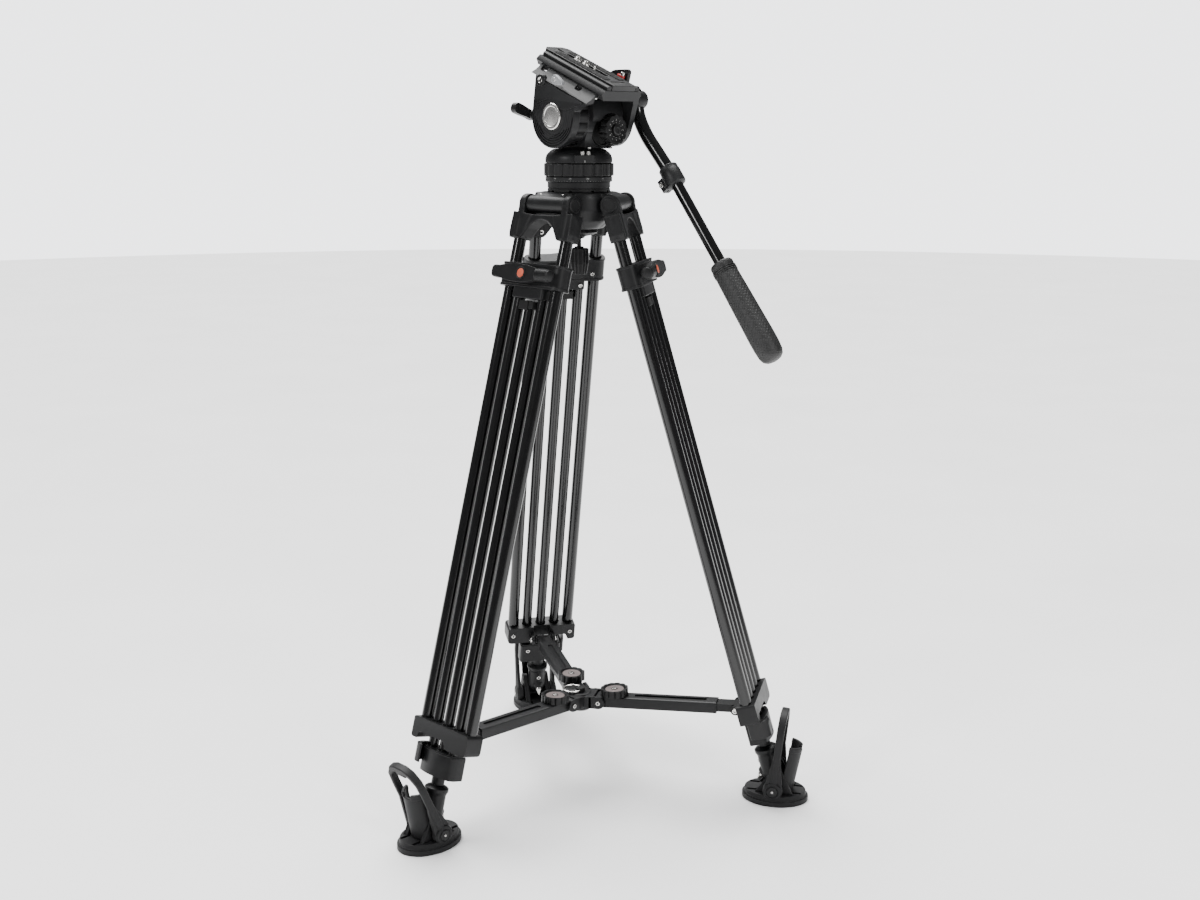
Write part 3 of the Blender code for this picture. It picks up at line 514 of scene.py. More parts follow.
# ---------------------------------------------------------------- legs
def make_leg(letter):
    leg = "leg_%s_" % letter
    body = "leg_" + letter
    at = leg_frame(letter)

    yoke = Solid()
    arch = [(-44, -15), (44, -15), (44, -44), (31, -44)] + arc((0, -50), 29, 30, 150, 14)
    yoke.prism("X", arch + [(-31, -44), (-44, -44)], -9.5, 10)
    for side in (-1, 1):
        low, high = sorted((side * 33.6, side * 44))
        yoke.rod("Y", 13, low, high, edge=0.8, segments=56)
        yoke.prism("Y", [(-9, -34), (10, -34), (12.2, -4), (-12.2, -4)], low, high)
        yoke.rod("Z", 11.8, -46, -14, at=(0, side * 42, 0), edge=2.5, segments=48)
        shell = [(53, -12), (54, -38), (52, -46), (33, -46), (29.5, -40), (23, -24), (20, -15)]
        yoke.prism("X", [(side * y, z) for y, z in shell], -9.5, 11)
    piece(leg + "yoke_casting", yoke, at, body, "casting", [leg + "upper_frame"], cast=0.9)

    caps, screws = Solid(), Solid()
    for side in (-1, 1):
        caps.lathe([(0, 43.5), (9.4, 43.5), (9.4, 44.7), (8.6, 45.3), (7.2, 45.3), (6.8, 44.6), (0, 44.6)],
                "Y", (0, 0, 0), 48, Matrix.Scale(side, 4, (0, 1, 0)))
        screw_head(screws, "X", 3.1, -8.0, -3.2, at=(0, side * 37, -38))
    piece(leg + "hinge_caps", caps, at, body, "knob", bevel=0.2)
    piece(leg + "yoke_screws", screws, at, body, "steel", bevel=0.15)

    tubes = Solid()
    for side in (-1, 1):
        tubes.rod("Z", 8, -668, -42, at=(0, side * 42, 0), edge=0.3, segments=64)
    piece(leg + "outer_tubes", tubes, at, body, "tube", bevel=0)

    front = [(-52, -668), (52, -668), (52, -695), (15, -695), (8, -685.5), (-38, -685.5), (-41, -695),
            (-52, -695)]
    bracket = Solid().prism("X", rounded(front, [3, 5, 7, 3, 3, 3, 2, 4]), -13, 13)
    bores = Solid()
    for offset in (-21, 0, 21):
        bores.rod("Z", 7.7, -700, -660, at=(0, offset, 0), segments=48)
    bores.box((-15, -12.6, -700), (-9, 12.6, -660))
    piece(leg + "bracket_casting", bracket, at, body, "casting", [leg + "lower_bracket"], bevel=1.4,
            cut=bores,
            segments=3)
    lugs = Solid()
    for side in (-1, 1):
        low, high = sorted((side * 13.2, side * 18))
        outline = arc((-23, -683.8), 6.4, 90, 270, 12) + [(-11, -690.2), (-11, -677.4)]
        lugs.prism("Y", outline, low, high)
    piece(leg + "spreader_lugs", lugs, at, body, "casting", bevel=0.6)
    pins = Solid()
    for side in (-1, 1):
        screw_head(pins, "Y", 3.6, side * 17.6, side * 2.2, at=(-23, 0, -683.8))
    for side in (-1, 1):
        screw_head(pins, "X", 3.0, -12.6, -1.8, at=(0, side * 44, -681))
    piece(leg + "lug_pins", pins, at, body, "steel", bevel=0.15)

    # middle stage: the sliding band, its block, the inner tubes and the clamp box
    middle = "leg_%s_middle" % letter
    band = Solid().prism("Z", rectangle(13.2, 54.5, 12.5), -106.4, -78.8)
    for low, high in ((-80.6, -77.6), (-107.6, -104.6)):
        band.prism("Z", rectangle(13.9, 55.2, 13), low, high)
    tunnels = Solid()
    for side in (-1, 1):
        tunnels.rod("Z", 8.5, -112, -70, at=(0, side * 42, 0), segments=48)
    piece(leg + "band_casting", band, at, middle, "casting", [leg + "stage_band"], bevel=0.6, cut=tunnels)
    cover = Solid().prism("X", rounded([(-28, -81.6), (28, -81.6), (28, -97), (20, -103.6), (-20, -103.6),
            (-28, -97)], 5), -15.2, -12)
    cover.prism("Z", rectangle(10.5, 27.5, 4), -121, -106)
    piece(leg + "band_cover", cover, at, middle, "casting", bevel=0.8)
    block_screws = Solid()
    for side in (-1, 1):
        screw_head(block_screws, "X", 2.8, -10, -2.4, at=(0, side * 21, -114.5))
        screw_head(block_screws, "X", 2.8, -12.5, -2.4, at=(0, side * 36, -97.5))
    piece(leg + "band_screws", block_screws, at, middle, "steel", bevel=0.15)
    inner = Solid()
    for side in (-1, 1):
        inner.rod("Z", 7, -701, -120, at=(0, side * 21, 0), edge=0.3, segments=56)
    piece(leg + "inner_tubes", inner, at, middle, "tube", [leg + "middle_frame"], bevel=0)
    shape = arc((-55, 0), 70.5, -23, 23, 15) + [(4, 31), (-13, 31), (-13, -31), (4, -31)]
    clamp = Solid().prism("Z", rounded(shape, 4, 4), -731, -702)
    clamp.prism("Z", rounded([(x * 0.96, y * 0.96) for x, y in shape], 4, 4), -703, -700)
    piece(leg + "clamp_box", clamp, at, middle, "head", bevel=1.2, segments=3,
            cut=Solid().rod("Z", 7.7, -740, -690, segments=48))
    bolt = Solid()
    screw_head(bolt, "X", 3.0, -12.6, -1.8, at=(0, 20, -711))
    piece(leg + "clamp_bolts", bolt, at, middle, "steel", bevel=0.15)

    # wing lever: leaf body, lighter paddle tip, ribbed barrel, dot in a dark ring
    wing = "leg_%s_wing" % letter
    flip_over = 180 if letter == "b" else 0
    wing_at = at @ spin(flip_over, "X", (0, 0, -92.6))
    leaf = Solid().prism("X", boat(40, 11.4, 5.6), 19, 27.5, (0, -8, 0))
    leaf.rod("X", 8, 14, 21)
    piece(leg + "wing_leaf", leaf, wing_at, wing, "lever", [leg + "wing_lever"], bevel=2.6, segments=4)
    tip = Solid().prism("X", rectangle(9, 8, 6.5), 17.8, 27.4, (0, -46, 0))
    barrel = Solid()
    profile = [(0, 26), (5.8, 27)]
    for step in range(10):
        start = 29 + step * 2
        profile += [(8.0, start), (8.0, start + 1.1), (7.2, start + 1.4), (7.2, start + 1.7)]
    barrel.lathe(profile + [(6.6, 50), (4, 51), (0, 51)], "Y", (25, 0, 0), 48)
    piece(leg + "wing_tip", tip, wing_at, wing, "knob", bevel=2.0, segments=3)
    piece(leg + "wing_barrel", barrel, wing_at, wing, "knob", bevel=0)
    ring = Solid().lathe([(5.8, 27), (8.3, 27), (8.0, 28.6), (6.6, 28.6), (5.8, 27.7)], "X", segments=48)
    piece(leg + "wing_ring", ring, wing_at, wing, "dark", bevel=0.2)
    piece(leg + "wing_dot", Solid().lathe([(0, 27), (5.7, 27), (5.6, 28.2), (4.8, 28.6), (0, 28.7)], "X"),
            wing_at,
            wing, "dot", bevel=0)

    # flip lever round one corner of the clamp box
    corners = [(-8, -36.4), (4, -39.2), (13, -37.6), (19.4, -30), (20.4, -22), (18, -21), (16, -27), (10.6,
            -31.8),
            (-8, -31.4)]
    flip = Solid().prism("Z", rounded(corners, 2.2, 5), -721, -698)
    piece(leg + "cam_lever", flip, at, "leg_%s_flip" % letter, "lever", [leg + "flip_lever"], bevel=1.2,
            segments=3)

    # lower stage: centre tube, guide blocks, sleeve
    lower = "leg_%s_lower" % letter
    piece(leg + "centre_tube", Solid().rod("Z", 7, -745, -130, edge=0.3, segments=56), at, lower, "tube",
            [leg + "lower_tube"], bevel=0)
    guides = Solid().prism("Z", rectangle(9, 8.2, 2, (0, -4.6)), -135, -123.6)
    guides.prism("Z", rectangle(9, 4, 2, (0, 8.6)), -133.4, -124.2)
    piece(leg + "guide_blocks", guides, at, lower, "dark", bevel=0.6)
    sleeve = [(0, -731.6), (8.4, -731.6), (8.4, -743), (13, -745), (15.4, -747), (15.4, -751.4), (14.3,
            -753),
            (13.4, -756), (13.6, -776), (14.4, -781), (13.2, -786.2), (9, -788), (0, -788)]
    sock = Solid().lathe(sleeve, segments=56)
    sock.prism("X", rounded([(-11, -799), (11, -799), (11, -782), (-11, -782)], 3), -6, 6)
    sock.rod("Y", 6.7, -11.5, 11.5, at=(0, 0, -799), edge=0.6)
    piece(leg + "sleeve_casting", sock, at, lower, "casting", [leg + "foot_sleeve"], bevel=0.5)
    rivet = Solid()
    screw_head(rivet, "X", 3.0, -12.4, -1.9, at=(0, 0, -764))
    piece(leg + "sleeve_screw", rivet, at, lower, "steel", bevel=0.15)
    spike_turn = Matrix.Translation((-9, 0, -779)) @ Matrix.Rotation(math.radians(-128), 4, "Y")
    boot = Solid().lathe([(0, -6), (6.5, -5), (8.2, 0), (7.6, 4), (5.4, 6.4), (0, 6.4)], turn=spike_turn)
    piece(leg + "spike_boot", boot, at, lower, "casting", bevel=0.6)
    spike = Solid().lathe([(0, 4), (4.4, 4), (4.4, 9), (3.6, 10), (0.7, 17), (0, 17.3)], turn=spike_turn)
    piece(leg + "foot_spike", spike, at, lower, "steel", bevel=0.1)
    make_foot(letter)


BAIL_LEAN = {"a": 24, "b": 6, "c": 6}   # degrees from vertical, outwards


def oval(half_x, half_y, count=64):
    return [(half_x * math.cos(2 * math.pi * step / count), half_y * math.sin(2 * math.pi * step / count))
            for step in range(count)]


def make_foot(letter):
    leg = "leg_%s_" % letter
    body = "leg_%s_foot" % letter
    at = foot_frame(letter)
    sole = -place("leg_%s_foot_tilt" % letter).z / MM
    pad = Solid().prism("Z", oval(44.5, 34), sole, sole + 6.5)
    pad.prism("Z", oval(42.8, 32.4), sole + 6, sole + 8.5)
    pad.prism("Z", oval(42.2, 31.8), sole + 8, sole + 13.4, shrink=0.965)
    slots = Solid()
    for side in (-1, 1):
        slots.prism("Z", rectangle(7, 2.2, 2, (29, side * 12)), sole + 10, sole + 20)
        slots.prism("Z", rectangle(7, 2.2, 2, (-29, side * 12)), sole + 10, sole + 20)
    piece(leg + "pad_rubber", pad, at, body, "rubber", [leg + "foot_pad"], bevel=1.1, cut=slots, segments=3)

    ears = Solid()
    for side in (-1, 1):
        low, high = sorted((side * 12.6, side * 19))
        ears.prism("Y", [(-24, sole + 12.4), (26, sole + 12.4)] + arc((4, 24), 5, 10, 160, 12), low, high)
        low, high = sorted((side * 17.5, side * 19.8))
        ears.prism("Y", [(-26, sole + 12.4), (28, sole + 12.4), (24, sole + 17)] + arc((4, 22), 8, 10, 160,
                12)
                + [(-22, sole + 17)], low, high)
    lean = Matrix.Translation((7, 0, 0)) @ Matrix.Rotation(math.radians(11), 4, "Y")
    wall = arc((0, 0), 18.0, -84, 84, 28) + arc((0, 0), 14.8, 84, -84, 28)
    ears.prism("Z", wall, sole + 11, 56, turn=lean)
    for start, end in ((-86, -24), (24, 86)):
        lip = arc((0, 0), 18.9, start, end, 14) + arc((0, 0), 14.6, end, start, 14)
        ears.prism("Z", lip, 54, 61, turn=lean)
    piece(leg + "foot_trough", ears, at, body, "rubber", bevel=1.0, segments=3)

    strap_at = at @ spin(BAIL_LEAN[letter], "Y")
    strap = Solid()
    outside = [(-30.6, 0), (-30.6, 70), (-29, 88), (-20, 101.5), (-8, 106.6), (8, 106.6), (20, 101.5), (29,
            88),
            (30.6, 70), (30.6, 0)]
    inside = [(25, 0), (25, 70), (23.4, 85), (16, 94.6), (6, 98.2), (-6, 98.2), (-16, 94.6), (-23.4, 85),
            (-25, 70), (-25, 0)]
    strap.prism("X", outside + inside, -5, 5)
    piece(leg + "bail_strap", strap, strap_at, "leg_%s_bail" % letter, "rubber", [leg + "foot_bail"],
            bevel=2.0,
            segments=4)
    hubs, caps = Solid(), Solid()
    for side in (-1, 1):
        flip = Matrix.Scale(side, 4, (0, 1, 0))
        hubs.lathe([(0, 20), (11, 20), (13.4, 22), (13.4, 28.6), (11.8, 31.2), (8.2, 31.8), (7.8, 30.9),
                (0, 30.9)],
                "Y", segments=56, turn=flip)
        caps.lathe([(0, 30.2), (7.2, 30.2), (7.2, 31.4), (6.4, 32.2), (2.2, 32.5), (1.8, 31.9), (0, 31.9)],
                "Y",
                segments=40, turn=flip)
        low, high = sorted((side * 25.2, side * 29.6))
        flare = [(-11.5, 4), (-12.8, -4), (12.8, -4), (11.5, 8), (4.8, 48), (-4.8, 48)]
        hubs.prism("Y", rounded(flare, [4, 2, 2, 4, 3, 3]), low, high)
    hubs.prism("Z", rectangle(4.4, 9, 2), 92.6, 100.5)
    piece(leg + "bail_hubs", hubs, strap_at, "leg_%s_bail" % letter, "rubber", bevel=0.4)
    piece(leg + "bail_caps", caps, strap_at, "leg_%s_bail" % letter, "knob", bevel=0)
    pins = Solid()
    for side in (-1, 1):
        screw_head(pins, "Y", 1.7, side * 31.8, side * 0.9, at=(0, 0, 0), socket=0.4)
    piece(leg + "foot_pin", pins, at, body, "steel", bevel=0.1)


# ---------------------------------------------------------------- spreader
def make_spreader():
    hub = Solid()
    hub.lathe([(0, 9), (14, 9), (17, 6), (17, -12), (13, -15.5), (0, -15.5)], segments=56)
    ends = Solid()
    for azimuth in (0, 120, 240):
        turn = spin(azimuth)
        hub.prism("Z", rounded([(4, -17), (22, -17), (22, 17), (4, 17)], 3), -8.5, 8, turn=turn)
        for side in (-1, 1):
            low, high = sorted((side * 12.7, side * 17))
            outline = arc((29, 0), 8.6, -90, 90, 14) + [(15, 8.6), (15, -8.6)]
            hub.prism("Y", outline, low, high, turn=turn)
            screw_head(ends, "Y", 3.0, side * 16.6, side * 1.9, at=(29, 0, 0), turn=turn)
    hub.rod("Z", 9.5, 5, 13, at=(-11, 0, 0), edge=1.2)
    piece("hub_casting", hub, HUB_FRAME, "spreader_hub", "casting", ["spreader_hub"], bevel=0.9, segments=3)
    piece("hub_pins", ends, HUB_FRAME, "spreader_hub", "steel", bevel=0.15)
    # Dark boss in the middle of the hub: painted shade standing for the dark inside of the hub's centre cup.
    boss = Solid().lathe([(0, 8), (6.5, 8), (6.5, 13.6), (5.6, 14.6), (0, 15)], segments=40)
    piece("hub_boss", boss, HUB_FRAME, "spreader_hub", "dark", bevel=0.3)
    ring = Solid().sweep([(12.8 * math.cos(math.radians(turn)), 12.8 * math.sin(math.radians(turn)), 0)
            for turn in range(0, 360, 6)], 1.5, closed=True)
    centre = Vector(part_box("spreader_pull_ring")[0]) * 0.5 + Vector(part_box("spreader_pull_ring")[1]) * 0.5
    piece("pull_ring_wire", ring, make_frame(centre, Vector((1, 0, 0)), UP), "pull_ring", "chrome",
            ["spreader_pull_ring"], bevel=0)

    for letter in LEGS:
        make_arm(letter)


def make_arm(letter):
    at = arm_frame(letter)
    name = "arm_%s_" % letter
    body = "arm_" + letter
    channel = Solid().prism("X", rounded([(-12, -7.5), (12, -7.5), (12, 6.4), (9.6, 7.5), (-9.6, 7.5),
            (-12, 6.4)],
            0.8), -4, 162)
    channel.rod("Y", 7.5, -12, 12, at=(-1, 0, 0), edge=0.5)
    cuts = Solid().box((10, -10.4, -5.9), (170, 10.4, 5.9))
    cuts.prism("Z", rectangle(50, 3.6, 3.6, (98, 0)), 0, 12)
    piece(name + "channel_shell", channel, at, body, "casting", [name + "channel"], bevel=0.7, cut=cuts)
    side_view = [(45, -5.4), (183, -5.4), (190, -3.4)] + arc((188.7, 0), 5.4, -60, 90, 8) + [(182, 5.4),
            (45, 5.4)]
    bar = Solid().prism("Y", side_view, -9.9, 9.9)
    bar.rod("Y", 5.6, -12.2, 12.2, at=(188.7, 0, 0), edge=0.5)
    piece(name + "sliding_bar", bar, at, "bar_" + letter, "head", [name + "bar"], bevel=0.6)
    knob_at = at @ Matrix.Translation((20, 0, 0))
    knob = Solid().prism("Z", lobes(19, 2.4, 12, 14), 8, 17.6)
    knob.rod("Z", 13, 7.6, 9, edge=0.3)
    dish = Solid().lathe([(0, 25), (15.4, 25), (15.4, 17), (13.4, 15.4), (0, 15.4)], segments=56)
    piece(name + "knob_grip", knob, knob_at, "knob_" + letter, "knob", [name + "lock_knob"], bevel=1.3,
            cut=dish,
            segments=3)
    label = Solid().lathe([(4.4, 15.5), (12.6, 15.5), (12.6, 16.1), (4.4, 16.1)], segments=56)
    piece(name + "knob_label", label, knob_at, "knob_" + letter, "label", bevel=0.15)
    middle = Solid()
    screw_head(middle, "Z", 3.8, 15.2, 2.1)
    piece(name + "knob_bolt", middle, knob_at, "knob_" + letter, "steel", bevel=0.15)


# ---------------------------------------------------------------- crown, bowl and pan unit
def make_crown():
    crown = Solid()
    crown.lathe([(38.4, 803.3), (42, 803.3), (45.4, 799), (47, 792), (46.4, 780), (41, 768), (31, 757),
            (20, 757),
            (20, 771), (33, 786), (37.6, 796)], segments=96)
    for azimuth in (0, 120, 240):
        turn = spin(azimuth)
        crown.rod("Y", 11.2, -33.2, 33.2, at=(51.1, 0, 788.2), edge=0.8, segments=56, turn=turn)
        shoulder = [(34, 803), (41, 803), (47, 801.6), (53, 799.2), (60, 791), (60, 786), (50, 776), (42,
                774)]
        crown.prism("Y", shoulder, -25, 25, turn=turn)
        shoulder = [(34, 802.6), (41, 802.6), (46, 800.4), (50, 797), (52, 790), (48, 778), (40, 776)]
        crown.prism("Y", shoulder, -31, 31, turn=turn)
        between = spin(azimuth + 60)
        crown.lathe([(0, 803), (36, 803), (38, 797), (39.4, 780), (33, 768), (22, 757), (0, 757)],
                segments=72,
                turn=between @ Matrix.Translation((13, 0, 0)))
    bowl = Solid().lathe([(0, 840), (38.2, 840), (38.2, 803), (36, 793), (31, 783), (20.6, 772), (14, 770),
            (14, 750), (0, 750)], segments=96)
    piece("crown_casting", crown, PAN_FRAME, "spider", "casting", ["spider"], cast=1.15, cut=bowl)
    liner = Solid().lathe([(38.0, 803), (37.8, 798), (33.4, 786.4), (21, 773), (15, 770.6), (15, 757.6),
            (26, 757.6), (36, 770), (40, 790), (40.2, 803)], segments=72)
    piece("bowl_liner", liner, PAN_FRAME, "spider", "casting", bevel=0.2)
    pins = Solid()
    for azimuth in (0, 120, 240):
        for side in (-1, 1):
            screw_head(pins, "Z", 2.3, 800.2, 1.0, at=(47, side * 20, 0), turn=spin(azimuth))
    piece("crown_screws", pins, PAN_FRAME, "spider", "steel", bevel=0.1)

    knob = Solid().lathe([(0, 776), (2.8, 776), (2.8, 757), (22.6, 757), (24, 752), (19, 748.6), (8.4,
            746.4), (6, 744),
            (2.8, 743), (2.8, 730), (0, 730)], segments=56)
    piece("clamp_cup", knob, PAN_FRAME, "bowl_clamp", "casting", ["bowl_clamp_knob"], bevel=0.4)
    grip = Solid().lathe([(0, 733.4), (5.5, 733.4), (6.5, 731), (0, 726)], segments=40)
    grip.prism("Z", lobes(12.6, 1.6, 8, 14, 0.8), 713, 731)
    grip.prism("Z", lobes(12.6, 1.6, 8, 14, 0.8), -713, -698, turn=Matrix.Scale(-1, 4, (0, 0, 1)),
            shrink=0.8)
    piece("clamp_grip", grip, PAN_FRAME, "bowl_clamp", "knob", bevel=0.9, segments=3)

    flange = Solid().lathe([(0, 815.6), (40, 815.6), (40, 808.4), (39.3, 808), (39.3, 807.2), (40, 806.8),
            (40, 803.6), (37, 803.4), (36.6, 799), (32, 787), (24, 779.5), (0, 777.4)], segments=96)
    notches = Solid()
    for azimuth in range(-170, 190, 40):
        notches.rod("X", 2.5, 36, 44, at=(0, 0, 803.2), edge=0.1, segments=24, turn=spin(azimuth))
    piece("ball_flange", flange, PAN_FRAME, "half_ball", "casting", ["half_ball"], bevel=0.5, cut=notches)
    scale = Solid().lathe([(0, 822.4), (41.6, 822.4), (42.5, 821.8), (42.5, 816.4), (41.6, 815.4), (0,
            815.4)],
            segments=96)
    piece("scale_ring", scale, PAN_FRAME, "half_ball", "head", bevel=0)
    marks = Solid()
    for step in range(72):
        tall = 1.6 if step % 6 == 0 else 0.8
        marks.box((42.4, -0.1, 816.7), (42.58, 0.1, 816.7 + tall), spin(step * 5))
    for step in range(12):
        face = spin(step * 30) @ Matrix.Translation((42.42, 0, 820.2)) @ AXIS_TURN["X"]
        add_text(marks, str(step * 30), 2.2, face, 0.1)
    piece("scale_marks", marks, PAN_FRAME, "half_ball", "mark", bevel=0)

    ring = Solid().prism("Z", lobes(44.5, 2.6, 19, 12, 0.5), *(822.9, 838.6))
    bore = Solid().rod("Z", 34.8, 820, 841, segments=72)
    piece("pan_grip_ring", ring, PAN_FRAME, "pan_ring", "knob", ["pan_drag_ring"], bevel=1.5, cut=bore,
            segments=4)
    dome = Solid().lathe([(0, 856.6), (31, 856.6), (33.6, 856), (38, 852.6), (41.2, 849), (42.6, 844.6),
            (42.6, 839.1),
            (33.8, 839.1), (33.8, 822.8), (0, 822.8)], segments=96)
    dome.prism("Z", rounded([(30, -13), (43.6, -13), (43.6, 13), (30, 13)], 2.5), 839.2, 849.4,
            turn=spin(-65))
    piece("pan_dome", dome, PAN_FRAME, "head_base", "head", ["pan_housing"], bevel=0.8, segments=3)
    posts = Solid()
    for azimuth in (-68.5, -57.5):
        posts.lathe([(0, 845), (2.7, 845), (2.7, 853.6), (2.0, 854.4), (0, 854.4)], segments=28,
                turn=spin(azimuth) @ Matrix.Translation((39.8, 0, 0)))
    piece("dome_posts", posts, PAN_FRAME, "head_base", "steel", bevel=0.1)
    lines = Solid()
    lines.box((43.5, -0.3, 840.2), (43.75, 0.3, 842.8), spin(-65))
    piece("pan_index_mark", lines, PAN_FRAME, "head_base", "mark", bevel=0)


# ---------------------------------------------------------------- head
def make_drag_body():
    drum = Solid().rod("Y", 35, -36.8, 16.2, edge=1.5, segments=96)
    drum.lathe([(0, -37.2), (27, -37.2), (27, -36), (0, -36)], "Y", segments=72)
    foot = [(-26, -39.5), (26, -39.5), (25, -30), (30, -18), (-30, -18), (-25, -30)]
    drum.prism("Y", rounded(foot, [1, 1, 6, 2, 2, 6]), -33, 14)
    hood = arc((0, 0), 42, 118, 184, 24) + [(-40, -6), (-20, -6), (-10, 20)]
    drum.prism("Y", hood, -36.8, 14.6)
    pocket = Solid().rod("X", 20.4, -60, -24, at=(0, -16, -16.5), edge=1, segments=72)
    piece("drag_drum", drum, LEVEL_FRAME, "head_base", "head", ["tilt_body"], bevel=0.9, cut=pocket,
            segments=3)
    # Dark lining of the dial pocket: painted shade in the recess behind the balance dial.
    well = Solid().lathe([(0, -24.4), (20.2, -24.4), (20.2, -28), (18.6, -28), (18.2, -25.6), (0, -25.6)],
            "X",
            (0, -16, -16.5), 56)
    well.rod("X", 6, -39.6, -24, at=(0, -16, -16.5))
    piece("dial_well", well, LEVEL_FRAME, "head_base", "dark", bevel=0.2)
    dots = Solid()
    for turn, size in ((-62, 1.1), (-52, 0.9), (-42, 0.7), (-33, 0.55)):
        dots.lathe([(0, 34.9), (size, 34.9), (size, 35.12), (0, 35.15)], segments=20,
                turn=spin(turn + 90, "Y") @ Matrix.Translation((0, 12.6, 0)))
    piece("drag_dots", dots, LEVEL_FRAME, "head_base", "mark", bevel=0)
    bolts = Solid()
    for x in (-20, 20):
        for y in (-28, 9):
            screw_head(bolts, "Z", 2.6, -39.6, 2.4, at=(x * 1.42, y, 0))
    piece("drum_bolts", bolts, LEVEL_FRAME, "head_base", "steel", bevel=0.1)
    ring = Solid().prism("Y", lobes(36.8, 3.0, 14, 14, 0.5), 16.6, 33.2)
    piece("tilt_grip_ring", ring, LEVEL_FRAME, "tilt_ring", "knob", ["tilt_drag_ring"], bevel=1.5,
            segments=4)

    at = LEVEL_FRAME @ Matrix.Translation((-40, -16, -16.5))
    dial = Solid().prism("X", lobes(18.5, 1.9, 12, 14, 0.5), -12, -0.2)
    face = Solid().lathe([(0, -20), (14.6, -20), (14.6, -11.2), (8.2, -11.2), (7.6, -10.4), (0, -10.4)],
            "X")
    piece("dial_grip", dial, at, "balance_dial", "knob", ["balance_knob"], bevel=1.2, cut=face, segments=3)
    centre = Solid().lathe([(0, -10), (6.5, -10), (6.5, -13.4), (5.6, -14), (3.4, -14), (3, -13.4), (0,
            -13.4)], "X")
    piece("dial_centre", centre, at, "balance_dial", "lever", bevel=0.2)
    marks = Solid()
    for step in range(12):
        turn = spin(step * 30, "X")
        marks.box((-11.4, -0.14, 8.8), (-11.1, 0.14, 9.8), turn)
        facing = turn @ Matrix.Translation((-11.2, 0, 12.1)) @ Matrix(((0, 0, -1, 0), (-1, 0, 0, 0),
                (0, 1, 0, 0), (0, 0, 0, 1)))
        add_text(marks, str(step), 2.6, facing, 0.1)
    piece("dial_marks", marks, at, "balance_dial", "mark", bevel=0)


